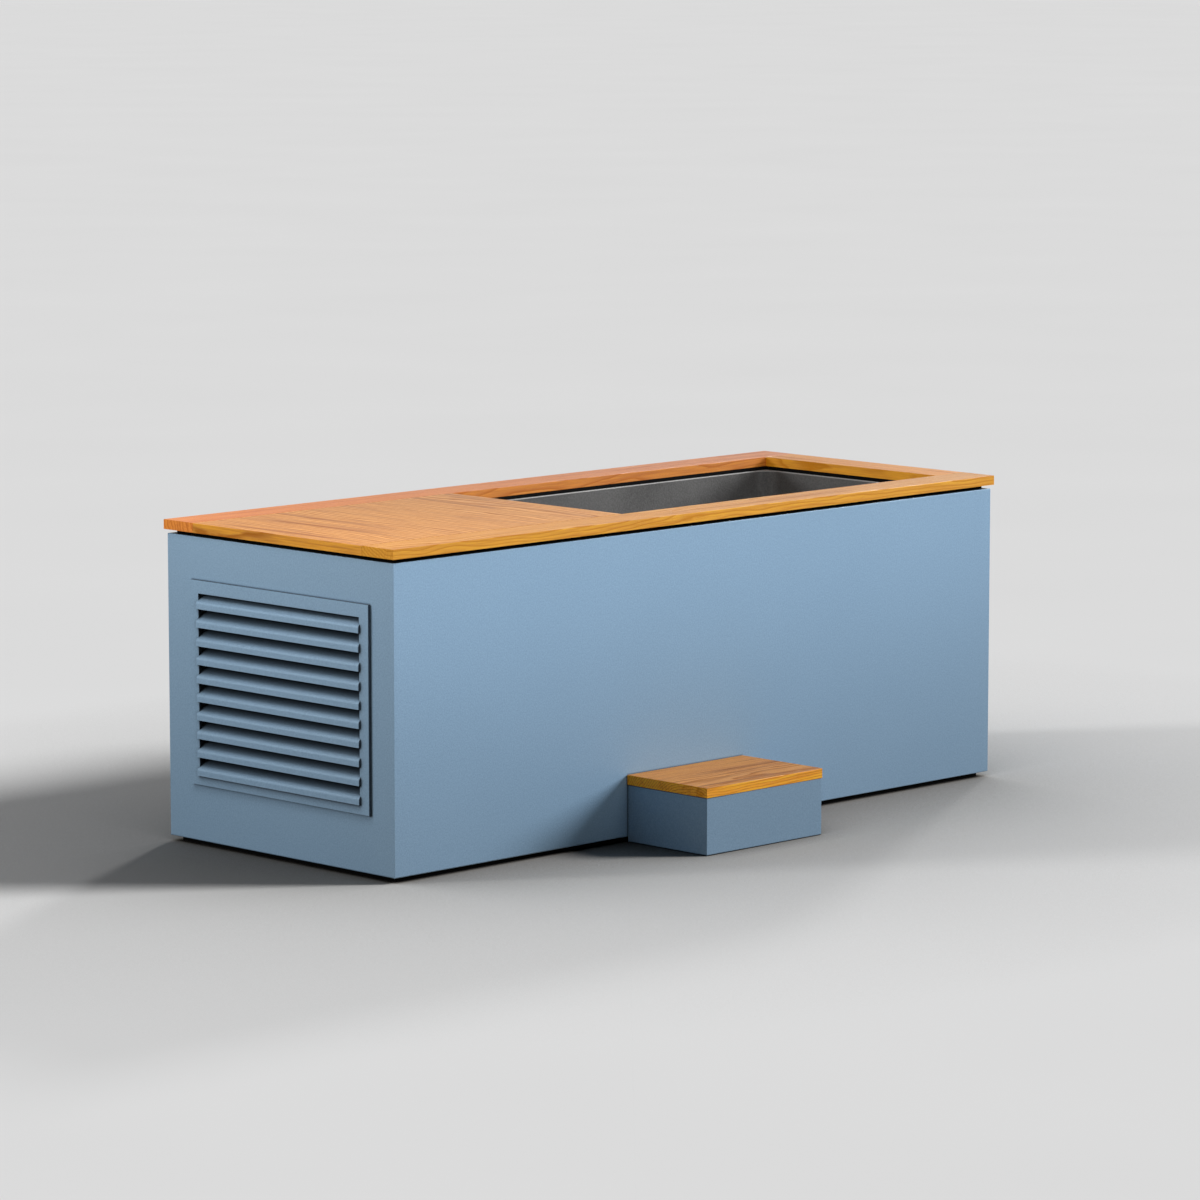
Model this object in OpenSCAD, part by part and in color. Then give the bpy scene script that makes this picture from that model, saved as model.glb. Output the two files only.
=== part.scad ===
// Cold plunge tub: a sheet-metal cabinet on a black plinth, with a timber deck round a
// sunken tub, a machine bay behind a louvre, a lift-off hatch over it, and a loose step.
// X runs along the cabinet from the louvre, Y from front to back, Z up.

/* [Cabinet] */
// Length of the cabinet over its end panels
cab_l = 2200; // [2100:5:2400]
// Width of the cabinet over its front and back panels
cab_w = 842; // [820:1:900]
// Height of the panels' top edge above the floor
cab_top = 790; // [770:1:850]
// Thickness of the panels, and of the tub's rim that lies level with them
panel_t = 3; // [2:0.5:4]
// Depth of the folds along the edges of the panels
fold_d = 21; // [16:1:22]

/* [Plinth] */
// Height of the black band below the panels
plinth_h = 13; // [10:1:30]
// How far the plinth stands back from the panels
plinth_recess = 22; // [22:1:40]
// Width of a plinth bar
plinth_w = 60; // [40:1:80]

/* [Chassis] */
// Side of the square steel tube
tube_s = 40; // [30:1:45]
// Wall of the square steel tube
tube_wall = 3; // [2:0.5:4]
// Cross members under the tub
under_tub_n = 2; // [1:1:4]
// Thickness of the floor board
floor_t = 12; // [9:1:18]
// Thickness of the sheet between the machine bay and the tub
bulkhead_t = 3; // [2:0.5:5]

/* [Deck] */
// Height of the black band between panels and timber
spacer_h = 10; // [6:1:20]
// How far that band stands back from the panels
spacer_recess = 17; // [12:1:20]
// How far the band stands back from the edge of the opening
spacer_set = 1; // [0.5:0.5:2]
// Thickness of the timber
deck_t = 25; // [20:1:32]
// How far the timber overhangs the panels
deck_over = 7; // [4:1:12]
// Width of the timber rails round the opening
rail_w = 112; // [100:1:125]
// Length of the lift-off hatch along the cabinet
hatch_l = 897; // [880:1:950]
// Gap between the hatch and the rails beside it
hatch_gap = 1; // [0.5:0.5:3]
// Screws up through each batten into the hatch
hatch_screw_n = 5; // [3:1:8]
// Thickness of the battens under the hatch
batten_t = 20; // [16:1:25]
// Width of the battens under the hatch
batten_w = 60; // [50:1:90]
// Radius of the softened edges of the timber
arris_r = 1.5; // [1:0.5:3]

/* [Tub] */
// How far the tub's walls stand inside the deck opening
tub_inset = 4; // [3:1:10]
// Height of the tub's floor above the floor board
tub_lift = 60; // [60:1:110]
// Thickness of the tub's walls and floor
tub_wall = 5; // [4:0.5:8]
// Radius of the tub's upright corners and of the bend to its floor
tub_r = 50; // [30:1:80]
// Thickness of the foam round the tub's walls
foam_t = 44; // [30:1:46]

/* [Louvre] */
// Width of the louvre over its frame
louvre_w = 666; // [500:1:680]
// Height of the louvre over its frame
louvre_h = 522; // [400:1:560]
// Height of the louvre's lower edge above the floor
louvre_z = 159; // [140:1:180]
// How far the louvre stands back from the front of the cabinet
louvre_y = 84; // [70:1:100]
// Width of the louvre's frame bars
louvre_bar = 33; // [25:1:45]
// Thickness of the louvre's frame bars
louvre_t = 8; // [5:1:12]
// Number of blades
blade_n = 10; // [7:1:11]
// Slope of the blades above the horizontal
blade_a = 38; // [30:1:42]
// Thickness of a blade's web
blade_t = 2.5; // [2:0.5:4]
// Height of the upright part of a blade's lip
lip_h = 12; // [8:1:16]
// Thickness of a blade's lip, which lies on the frame
lip_t = 6; // [4:1:8]
// Radius of the bend between a blade's lip and its web
lip_bend = 10; // [7:1:12]
// How far a lip laps over the frame at each end
lip_lap = 3; // [2:1:6]
// How far the top lip hangs below the top bar of the frame
lip_drop = 39; // [34:1:44]
// How far the lowest lip laps over the bottom bar
sill_lap = 9; // [4:1:12]
// How far the webs reach behind the outside of the end panel
blade_reach = 28; // [15:1:36]

/* [Step] */
// Length of the step
step_l = 425; // [380:1:500]
// Depth of the step from front to back
step_d = 282; // [250:1:330]
// Height of the step
step_h = 173; // [150:1:200]
// Thickness of the step's timber top
step_top_t = 25; // [20:1:32]
// How far the step's top overhangs its panels
step_over = 1.5; // [1:0.5:8]
// Where the step begins along the cabinet
step_x = 804; // [200:1:1500]
// Gap between the step and the cabinet
step_gap = 0.5; // [0.5:0.5:5]

/* [Water side] */
// Outside diameter of the water pipes
pipe_d = 32; // [25:1:34]
// Wall of the water pipes
pipe_wall = 2.5; // [2:0.5:4]
// Radius of the pipe bends
pipe_bend = 36; // [30:1:38]
// Diameter of the fittings' flanges in the tub
fitting_d = 84; // [70:1:90]
// Thickness of the fittings' flanges
fitting_t = 6; // [4:1:8]
// Height of the suction fitting above the tub's floor
suction_up = 127; // [120:1:170]
// Height of the return fitting above the tub's floor
return_up = 502; // [495:1:530]
// Distance of the suction fitting behind the front of the cabinet
suction_y = 250; // [220:1:270]
// Distance of the return fitting before the back of the cabinet
return_back = 242; // [230:1:252]
// Distance of the drain from the left wall of the tub
drain_x = 150; // [110:1:300]
// Diameter of the filter housing
filter_d = 180; // [160:1:190]
// Height of the filter housing without its lid
filter_h = 410; // [360:1:430]
// Wall of the filter housing
filter_wall = 5; // [4:0.5:8]
// Pleats round the filter cartridge
pleat_n = 48; // [24:1:60]
// Diameter of the heat exchanger
exchanger_d = 120; // [90:1:130]
// Height of the heat exchanger
exchanger_h = 520; // [500:1:560]
// Bore of the hose socket of the drain
hose_d = 26; // [20:1:28]
// Length of the drain valve's lever from its stem
lever_l = 85; // [60:1:90]

/* [Cooling side] */
// Diameter over the tips of the fan
fan_d = 420; // [360:1:430]
// Gap between the fan's tips and its ring
fan_gap = 5; // [3:1:8]
// Number of fan blades
fan_n = 5; // [3:1:7]
// Pitch of the fan blades
fan_pitch = 30; // [20:1:35]
// Diameter of the fan's shaft
fan_shaft_d = 10; // [8:1:14]
// Diameter of the fan motor
motor_d = 110; // [90:1:120]
// Length of the condenser across the cabinet
coil_w = 560; // [480:1:580]
// Height of the condenser
coil_h = 500; // [460:1:520]
// Thickness of the condenser
coil_t = 40; // [30:1:44]
// Fins of the condenser
fin_n = 26; // [16:1:30]
// Tubes of the condenser
coil_tube_n = 6; // [4:1:8]
// Diameter of the compressor
comp_d = 165; // [140:1:170]
// Height of the compressor on its feet
comp_h = 280; // [220:1:320]
// Diameter of the cable gland's bore
gland_bore = 12; // [8:1:14]
// How far the cable gland stands out of the back panel
gland_out = 18; // [12:1:25]

/* [Hidden] */
$fn = 48;

// Colours
c_blue = "#8baac9";
c_black = "#141414";
c_steel = "#3c4043";
c_timber = "#dea773";
c_rail = "#e8b080";
c_tub = "#4a4a4a";
c_foam = "#d8d4c4";
c_pvc = "#e4e6e6";
c_brass = "#b5a060";
c_copper = "#b87333";
c_zinc = "#b4b8ba";
c_plywood = "#5b4a3a";
c_step = "#be875a";
c_red = "#c23b2e";
c_paper = "#eef0ea";
c_grey = "#c9cccd";

// Small clearances
eps = 1;            // how far a cut runs past the face it opens
fit = 0.5;          // all round a pipe or a fitting in its hole
run = 0.05;         // all round a shaft in its bearing
turn = 0.3;         // between pieces that move past each other

// Levels
z_panel = plinth_h;
z_chassis = plinth_h + panel_t;
z_board = z_chassis + tube_s;
z_floor = z_board + floor_t;
z_seat = cab_top - panel_t;
z_spacer = cab_top;
z_deck = cab_top + spacer_h;
z_top = z_deck + deck_t;
z_tub = z_floor + tub_lift;

// Plan of the chassis, whose outside lies behind the folds of the end panels
in_frame = 2 * panel_t;
rail_in = in_frame + tube_s;

// Opening in the deck, and the tub in it
open_x0 = hatch_l - deck_over;
open_x1 = cab_l + deck_over - rail_w;
open_y0 = rail_w - deck_over;
open_y1 = cab_w + deck_over - rail_w;
tub_x0 = open_x0 + tub_inset;
tub_x1 = open_x1 - tub_inset;
tub_y0 = open_y0 + tub_inset;
tub_y1 = open_y1 - tub_inset;
bulk_x = tub_x0 - tub_wall - foam_t - bulkhead_t;
bulk_tube_x = bulk_x - tube_s;
rim_edge = fold_d + 2;
rim_x0 = bulk_tube_x + tube_s / 4;
rim_r = 2 * panel_t / 3;
post_h = z_seat - tube_s - z_board;
frames_x = [in_frame, bulk_tube_x, cab_l - rail_in];
under_tub_x = [for (i = [1:under_tub_n])
    bulk_x + (cab_l - rail_in - bulk_x) * i / (under_tub_n + 1) - tube_s / 2];

// Louvre
louvre_x = -louvre_t - lip_t;
vent_y0 = louvre_y + louvre_bar;
vent_y1 = louvre_y + louvre_w - louvre_bar;
vent_z0 = louvre_z + louvre_bar;
vent_z1 = louvre_z + louvre_h - louvre_bar;
vent_lap = 5;
blade_pitch = (vent_z1 - vent_z0 - lip_drop + sill_lap) / (blade_n - 1);

// The origin is the middle of the whole, on the floor
step_fold = 18;
y_front = -step_gap - step_d;
y_back = cab_w + max(deck_over, gland_out);
mid_x = (louvre_x + cab_l + deck_over) / 2;
mid_y = (y_front + y_back) / 2;

// Fasteners
bolt_d = 8;
bolt_in = 15;
bolt_y = rail_in - tube_s / 3;
bolt_n = 6;
bolt_head_h = 5;
bolt_head_d = 14;
bolt_end = 180;
screw_d = 5;
screw_head_d = 10;
screw_head_h = 3;
screw_in = 14;

// Water side
pipe_r = pipe_d / 2;
port_d = pipe_d - 2 * pipe_wall;
body_d = 48;        // threaded body of a fitting
thread_past = 6;    // how far it stands out of its nut
nut_d = 72;
nut_t = 12;
foam_cut = 2;       // round a nut
flange_taper = 6;
strainer_t = 3;     // what the bore leaves of a slotted flange
slot_w = 2;
slot_pitch = 5;
nip = 12;           // length of the pumps' and vessels' pipe ends
socket_l = 16;      // length of an elbow's socket over the pipe
socket_in = 3;      // how far the socket reaches back over the bend
socket_t = 3;
valve_l = 70;
valve_d = 46;
z_drain = z_floor + valve_d / 2 + eps;
z_suction = z_tub + suction_up;
z_return = z_tub + return_up;
return_y = cab_w - return_back;
suction_at = [suction_y, z_suction];
return_at = [return_y, z_return];
x_wall = tub_x0 - tub_wall;
x_stub = bulk_x - 12;
pump_x = 600;
wet_d = 140;
pump_gap = 10;      // between the wet end and the floor board
pump_z = z_floor + wet_d / 2 + pump_gap;
wet_l = 60;
pump_motor_d = 118;
pump_motor_l = 150;
z_pump_out = pump_z + wet_d / 2 + nip + pipe_bend + 2 * socket_l;
filter_back = 282;  // the filter's distance before the back of the cabinet
filter_y = cab_w - filter_back;
port_gap = 10;      // between the filter's two ports
z_filter_out = z_pump_out + pipe_d + port_gap;
exchanger_x = 320;
exchanger_y = suction_y;
return_run_x = 758;
drain_run_x = return_run_x + 10;
spigot_l = 26;
valve_back = 202;   // the valve's distance before the back of the cabinet
valve_y = cab_w - valve_back;
ball_bore = 20;
ball_r = 15;
stem_d = 8;
lever_w = 18;
lever_t = 4;
lever_up = 40;
pump_fin_n = 12;
pump_fin_h = 5;
pump_fin_t = 3;
pump_fin_gap = 6;   // between the fins and the motor's ends
pump_foot_l = 180;
pump_foot_w = 100;
pump_foot_t = 6;
pump_leg_l = 12;
mouth_t = 14;
filter_foot_t = 8;
lid_h = 42;
lid_dome = 14;
lid_bevel = 20;
lid_plug = 18;
lid_grip_n = 8;
lid_grip_w = 14;
lid_grip_h = 4;
cart_z = 12;
cap_t = 8;
cap_over = 4;
core_r = 22;
outlet_d = 40;
outlet_in = 36;     // how far the outlet reaches behind the back panel
hose_in = 26;       // how far its hose socket does
outlet_flange_d = 60;
outlet_flange_t = 4;

// Cooling side
tray_x0 = 62;
tray_l = 380;
tray_w = coil_w + 30;
tray_y0 = louvre_y + (louvre_w - tray_w) / 2;
tray_lip = 18;
tray_t = 2;
z_tray = z_floor + tray_t;
coil_x = tray_x0 + tray_t + 4;
coil_y = tray_y0 + (tray_w - coil_w) / 2;
coil_lift = 36;
plate_t = 2;
coil_tube_d = 10;
coil_tube_past = 8;
fin_t = 1.2;
fin_in = 4;
shroud_x = coil_x + coil_t;
shroud_t = 2;
ring_l = 44;
ring_t = 3;
fan_y = coil_y + coil_w / 2;
fan_z = z_tray + coil_lift + coil_h / 2 - plate_t;
hub_d = 92;
hub_l = 36;
fan_x = shroud_x + shroud_t + 4;
motor_x = fan_x + hub_l + 8;
motor_l = 76;
arm_n = 3;
arm_w = 22;
arm_t = 4;
arm_gap = 11;       // between the shroud's ring and the arms
shaft_in = 40;      // how far the fan's shaft reaches into the motor
vane_t = 3;
root_w = 50;
tip_lead = 48;
tip_trail = 40;
comp_x = 332;
comp_edge = 70;     // between the compressor and the tray's end
comp_y = tray_y0 + tray_w - comp_edge - comp_d / 2;
foot_h = 14;
foot_d = 26;
foot_t = 3;
exchanger_cap_t = 12;
exchanger_cap_over = 10;
z_exchanger_out = z_tray + exchanger_h - exchanger_cap_t - 2 * pipe_d;

// Helpers

module at_origin() translate([-mid_x, -mid_y, 0]) children();

// Square tube along X, Y or Z from its lowest corner
module tube_x(l) difference() {
    cube([l, tube_s, tube_s]);
    translate([-eps, tube_wall, tube_wall])
        cube([l + 2 * eps, tube_s - 2 * tube_wall, tube_s - 2 * tube_wall]);
}
module tube_y(l) translate([tube_s, 0, 0]) rotate([0, 0, 90]) tube_x(l);
module tube_z(l) translate([tube_s, 0, 0]) rotate([0, -90, 0]) tube_x(l);

// Rectangle with round corners
module round_rect(w, h, r) {
    translate([r, 0]) square([w - 2 * r, h]);
    translate([0, r]) square([w, h - 2 * r]);
    for (x = [r, w - r], y = [r, h - r]) translate([x, y]) circle(r);
}

// Section of a board with its two top edges softened
module board_section(w, t) {
    square([w, t - arris_r]);
    translate([arris_r, 0]) square([w - 2 * arris_r, t]);
    for (x = [arris_r, w - arris_r]) translate([x, t - arris_r]) circle(arris_r);
}
module board_x(l, w, t) rotate([90, 0, 90]) linear_extrude(l) board_section(w, t);
module board_y(l, w, t) translate([0, l, 0]) rotate([90, 0, 0]) linear_extrude(l) board_section(w, t);

// Section of a panel: a web with a fold at each end, bent on a radius of its thickness
module folded_section(h, d, t) difference() {
    union() {
        translate([t, 0]) square([d - t, h]);
        translate([0, t]) square([t, h - 2 * t]);
        for (y = [t, h - t]) translate([t, y]) circle(t);
    }
    translate([t, t]) square([d, h - 2 * t]);
}

// Pipe through a list of corners joined by runs along X, Y or Z
function unit(v) = v / norm(v);
module elbow(corner, a, b, r, bend) {
    c = cross(a, b);
    multmatrix([[-b[0], a[0], c[0], corner[0] + (b[0] - a[0]) * bend],
                [-b[1], a[1], c[1], corner[1] + (b[1] - a[1]) * bend],
                [-b[2], a[2], c[2], corner[2] + (b[2] - a[2]) * bend],
                [0, 0, 0, 1]])
        rotate_extrude(angle = 90) translate([bend, 0]) circle(r);
}
module rod(p, q, r) translate(p) multmatrix(toward(unit(q - p))) cylinder(h = norm(q - p), r = r);
function toward(d) =
    abs(d[2]) > 0.5 ? [[1, 0, 0, 0], [0, d[2], 0, 0], [0, 0, d[2], 0], [0, 0, 0, 1]]
    : abs(d[1]) > 0.5 ? [[1, 0, 0, 0], [0, 0, d[1], 0], [0, -d[1], 0, 0], [0, 0, 0, 1]]
    : [[0, 0, d[0], 0], [0, 1, 0, 0], [-d[0], 0, 0, 0], [0, 0, 0, 1]];
module collar(p, d, r) rod(p - d * socket_in, p + d * socket_l, r + socket_t);
module run_of(path, r, bend, past, sockets = false) {
    last = len(path) - 1;
    for (i = [0:last - 1]) {
        d = unit(path[i + 1] - path[i]);
        p = i == 0 ? path[0] - d * past : path[i] + d * bend;
        q = i == last - 1 ? path[last] + d * past : path[i + 1] - d * bend;
        if (norm(q - p) > 0.01) rod(p, q, r);
        if (i < last - 1) {
            e = unit(path[i + 2] - path[i + 1]);
            elbow(path[i + 1], d, e, r, bend);
            if (sockets) {
                collar(path[i + 1] - d * bend, -d, r);
                collar(path[i + 1] + e * bend, e, r);
            }
        }
    }
}
module pipe(path, d, wall, bend) difference() {
    run_of(path, d / 2, bend, 0, true);
    run_of(path, d / 2 - wall, bend, eps);
}
module water_pipe(path) pipe(path, pipe_d, pipe_wall, pipe_bend);

// Places of the deck bolts, as [x, y]
bolt_step = (cab_l - 2 * bolt_end) / (bolt_n - 1);
bolts_long = [for (i = [0:bolt_n - 1], y = [bolt_y, cab_w - bolt_y]) [bolt_end + i * bolt_step, y]];
bolts_right = [for (k = [1, 3]) [cab_l - bolt_y, cab_w * k / 4]];
module bolt_holes(z0, h, d) for (p = concat(bolts_long, bolts_right))
    translate([p[0], p[1], z0]) cylinder(h = h, d = d);

// Plinth

module plinth_sides() color(c_black) at_origin()
    for (y = [plinth_recess, cab_w - plinth_recess - plinth_w])
        translate([plinth_recess, y, 0]) cube([cab_l - 2 * plinth_recess, plinth_w, z_chassis]);

module plinth_ends() color(c_black) at_origin()
    for (x = [plinth_recess, cab_l - plinth_recess - plinth_w])
        translate([x, plinth_recess + plinth_w, 0])
            cube([plinth_w, cab_w - 2 * (plinth_recess + plinth_w), z_chassis]);

module plinth_bearers() color(c_black) at_origin()
    for (x = concat([bulk_tube_x], under_tub_x))
        translate([x + (tube_s - plinth_w) / 2, plinth_recess + plinth_w, 0])
            cube([plinth_w, cab_w - 2 * (plinth_recess + plinth_w), z_chassis]);

// Chassis

module long_tubes(z) for (y = [in_frame, cab_w - in_frame - tube_s])
    translate([in_frame, y, z]) tube_x(cab_l - 2 * in_frame);
module cross_tube(x, z) translate([x, rail_in, z]) tube_y(cab_w - 2 * rail_in);

module chassis_lower_rails() color(c_steel) at_origin() long_tubes(z_chassis);

module chassis_lower_cross() color(c_steel) at_origin()
    for (x = concat(frames_x, under_tub_x)) cross_tube(x, z_chassis);

module chassis_posts() color(c_steel) at_origin()
    for (x = frames_x, y = [in_frame, cab_w - rail_in])
        translate([x, y, z_board]) tube_z(post_h);

module chassis_upper_rails() color(c_steel) at_origin() difference() {
    long_tubes(z_seat - tube_s);
    bolt_holes(z_seat - tube_s - eps, tube_s + 2 * eps, bolt_d + 2 * turn);
}

module chassis_upper_cross() color(c_steel) at_origin() difference() {
    for (x = frames_x) cross_tube(x, z_seat - tube_s);
    bolt_holes(z_seat - tube_s - eps, tube_s + 2 * eps, bolt_d + 2 * turn);
}

module floor_board() color(c_plywood) at_origin()
    translate([rail_in, rail_in, z_board]) cube([cab_l - 2 * rail_in, cab_w - 2 * rail_in, floor_t]);

module bulkhead() color(c_zinc) at_origin() difference() {
    translate([bulk_x, in_frame, z_floor])
        cube([bulkhead_t, cab_w - 2 * in_frame, z_seat - tube_s - z_floor]);
    wall_holes(pipe_d + 2 * fit);
    translate([bulk_x - eps, cab_w / 2, z_drain])
        rotate([0, 90, 0]) cylinder(h = bulkhead_t + 2 * eps, d = pipe_d + 2 * fit);
}

// Panels

module long_panel() difference() {
    translate([0, 0, z_panel]) rotate([90, 0, 90])
        linear_extrude(cab_l) folded_section(cab_top - z_panel, fold_d, panel_t);
    for (x = [-eps, cab_l - fold_d - fit])
        translate([x, panel_t, z_panel - eps]) cube([fold_d + fit + eps, fold_d, cab_top]);
}

module end_panel() {
    translate([0, cab_w - panel_t, z_panel]) rotate([90, 0, 0])
        linear_extrude(cab_w - 2 * panel_t) folded_section(cab_top - z_panel, fold_d, panel_t);
    for (y = [panel_t, cab_w - 2 * panel_t])
        translate([0, y, z_panel + panel_t]) cube([fold_d, panel_t, cab_top - z_panel - 2 * panel_t]);
}

module front_panel() color(c_blue) at_origin() long_panel();

module back_panel() color(c_blue) at_origin() difference() {
    translate([0, cab_w, 0]) mirror([0, 1, 0]) long_panel();
    translate([drain_run_x, cab_w - panel_t - eps, z_drain])
        rotate([-90, 0, 0]) cylinder(h = panel_t + 2 * eps, d = outlet_d + 2 * fit);
    gland_place(cab_w - panel_t - eps) cylinder(h = panel_t + 2 * eps, d = gland_thread_d + 2 * fit);
}

module left_end_panel() color(c_blue) at_origin() difference() {
    end_panel();
    translate([-eps, vent_y0 - vent_lap, vent_z0 - vent_lap])
        cube([panel_t + 2 * eps, vent_y1 - vent_y0 + 2 * vent_lap, vent_z1 - vent_z0 + 2 * vent_lap]);
}

module right_end_panel() color(c_blue) at_origin()
    translate([cab_l, 0, 0]) mirror([1, 0, 0]) end_panel();

// Louvre, the feature of the left end

// A mitred bar of the frame: l long over its outer edge, w wide
module mitred_bar(l, w) polygon([[0, 0], [l, 0], [l - w, w], [w, w]]);
module on_end() translate([0, louvre_y, louvre_z]) rotate([90, 0, 90])
    translate([0, 0, -louvre_t]) linear_extrude(louvre_t) children();

module louvre_rails() color(c_blue) at_origin() on_end() {
    mitred_bar(louvre_w, louvre_bar);
    translate([0, louvre_h]) mirror([0, 1]) mitred_bar(louvre_w, louvre_bar);
}

module louvre_jambs() color(c_blue) at_origin() on_end() {
    translate([louvre_w, 0]) rotate(90) mitred_bar(louvre_h, louvre_bar);
    mirror([1, 0]) rotate(90) mitred_bar(louvre_h, louvre_bar);
}

// Section of a blade: an upright lip, a bend, and a web that rises inwards
bend_x = louvre_x + lip_bend * (1 - sin(blade_a));
bend_z = lip_h + lip_bend * cos(blade_a);
web_x = bend_x + blade_t * sin(blade_a);
web_z = bend_z - blade_t * cos(blade_a);
bend_steps = 6;
module blade_section() polygon(concat(
    [[louvre_x, 0]],
    [for (i = [0:bend_steps]) let (t = 180 - (90 - blade_a) * i / bend_steps)
        [louvre_x + lip_bend * (1 + cos(t)), lip_h + lip_bend * sin(t)]],
    [[blade_reach, bend_z + (blade_reach - bend_x) * tan(blade_a)],
     [blade_reach, web_z + (blade_reach - web_x) * tan(blade_a)],
     [-louvre_t, web_z + (-louvre_t - web_x) * tan(blade_a)],
     [-louvre_t, 0]]));
module blade_slice(y0, y1) translate([0, y1, 0]) rotate([90, 0, 0])
    linear_extrude(y1 - y0) children();
module blade() {
    blade_slice(vent_y0, vent_y1) blade_section();
    blade_slice(vent_y0 - lip_lap, vent_y1 + lip_lap) intersection() {
        blade_section();
        translate([louvre_x - eps, -eps]) square([lip_t + eps, lip_h + lip_bend + 2 * eps]);
    }
}

module louvre_blades() color(c_blue) at_origin()
    for (i = [0:blade_n - 1])
        translate([0, 0, vent_z1 - lip_drop - i * blade_pitch]) blade();

// Shadow-gap spacers, packed down to the chassis beside the machine bay

spacer_in = open_y0 - spacer_set;
spacer_y1 = open_y1 + spacer_set;
spacer_end_w = cab_l - spacer_recess - open_x1 - spacer_set;
module spacer_rails() color(c_black) at_origin() difference() {
    for (side = [0, 1]) translate([0, side * cab_w, 0]) mirror([0, side, 0]) {
        translate([spacer_recess, spacer_recess, z_spacer])
            cube([cab_l - 2 * spacer_recess, (side == 0 ? spacer_in : cab_w - spacer_y1) - spacer_recess,
                  spacer_h]);
        translate([rail_in, rim_edge, z_seat])
            cube([rim_x0 - fit - rail_in, rail_in - rim_edge, panel_t]);
    }
    bolt_holes(z_seat - eps, spacer_h + panel_t + 2 * eps, bolt_d + 2 * turn);
}

module spacer_cross() color(c_black) at_origin() difference() {
    union() {
        for (x = [spacer_recess, open_x1 + spacer_set])
            translate([x, spacer_in, z_spacer])
                cube([spacer_end_w, spacer_y1 - spacer_in, spacer_h]);
        translate([rim_edge, spacer_in, z_seat]) cube([rail_in - rim_edge, spacer_y1 - spacer_in, panel_t]);
        translate([rim_x0, spacer_in, z_spacer])
            cube([open_x0 - spacer_set - rim_x0, spacer_y1 - spacer_in, spacer_h]);
    }
    bolt_holes(z_seat - eps, spacer_h + panel_t + 2 * eps, bolt_d + 2 * turn);
}

// Deck

module blind_holes() bolt_holes(z_deck - eps, bolt_in + turn + eps, bolt_d + 2 * turn);

module deck_rail_front() color(c_rail) at_origin() difference() {
    translate([-deck_over, -deck_over, z_deck]) board_x(cab_l + 2 * deck_over, rail_w, deck_t);
    blind_holes();
}

module deck_rail_back() color(c_rail) at_origin() difference() {
    translate([-deck_over, open_y1, z_deck]) board_x(cab_l + 2 * deck_over, rail_w, deck_t);
    blind_holes();
}

module deck_rail_right() color(c_rail) at_origin() difference() {
    translate([open_x1, open_y0, z_deck]) board_y(open_y1 - open_y0, rail_w, deck_t);
    blind_holes();
}

module deck_bolts() color(c_zinc) at_origin()
    for (p = concat(bolts_long, bolts_right)) translate([p[0], p[1], z_seat - tube_s]) {
        translate([0, 0, -bolt_head_h]) cylinder(h = bolt_head_h, d = bolt_head_d, $fn = 6);
        cylinder(h = tube_s + panel_t + spacer_h + bolt_in, d = bolt_d);
    }

// Hatch, which lifts off the machine bay

hatch_w = open_y1 - open_y0 - 2 * hatch_gap;
batten_play = 8;    // between the battens' ends and the frame below
batten_x0 = spacer_recess + spacer_end_w + batten_play;
batten_x1 = bulk_tube_x - batten_play;
batten_ys = [open_y0 + hatch_gap + batten_w, open_y1 - hatch_gap - 2 * batten_w];
module screw_places() for (i = [0:hatch_screw_n - 1], y = batten_ys)
    translate([batten_x0 + (batten_x1 - batten_x0) * (i + 0.5) / hatch_screw_n, y + batten_w / 2,
               z_deck - batten_t]) children();

module hatch_panel() color(c_timber) at_origin() difference() {
    translate([-deck_over, open_y0 + hatch_gap, z_deck]) board_y(hatch_w, hatch_l, deck_t);
    screw_places() cylinder(h = batten_t + screw_in + turn, d = screw_d + 2 * turn);
}

module hatch_battens() color(c_timber) at_origin() difference() {
    for (y = batten_ys) translate([batten_x0, y, z_deck - batten_t])
        cube([batten_x1 - batten_x0, batten_w, batten_t]);
    screw_places() translate([0, 0, -eps]) {
        cylinder(h = batten_t + 2 * eps, d = screw_d + 2 * turn);
        cylinder(h = screw_head_h + eps, d = screw_head_d + 2 * turn);
    }
}

module hatch_screws() color(c_zinc) at_origin() screw_places() {
    cylinder(h = batten_t + screw_in, d = screw_d);
    cylinder(h = screw_head_h, d = screw_head_d);
}

// Tub

// Section of a trough w wide and h deep, round at its two lower corners
module trough_section(w, h, r) {
    translate([0, r]) square([w, h - r]);
    translate([r, 0]) square([w - 2 * r, h]);
    for (x = [r, w - r]) translate([x, r]) circle(r);
}
// The space of the tub, grown outwards by g, up to height z1
module tub_form(g, z1) {
    w = tub_x1 - tub_x0 + 2 * g;
    d = tub_y1 - tub_y0 + 2 * g;
    h = z1 - z_tub + g;
    translate([tub_x0 - g, tub_y0 - g, z_tub - g]) intersection() {
        linear_extrude(h) round_rect(w, d, tub_r + g);
        translate([0, d, 0]) rotate([90, 0, 0]) linear_extrude(d) trough_section(w, h, tub_r + g);
        rotate([90, 0, 90]) linear_extrude(w) trough_section(d, h, tub_r + g);
    }
}
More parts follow.
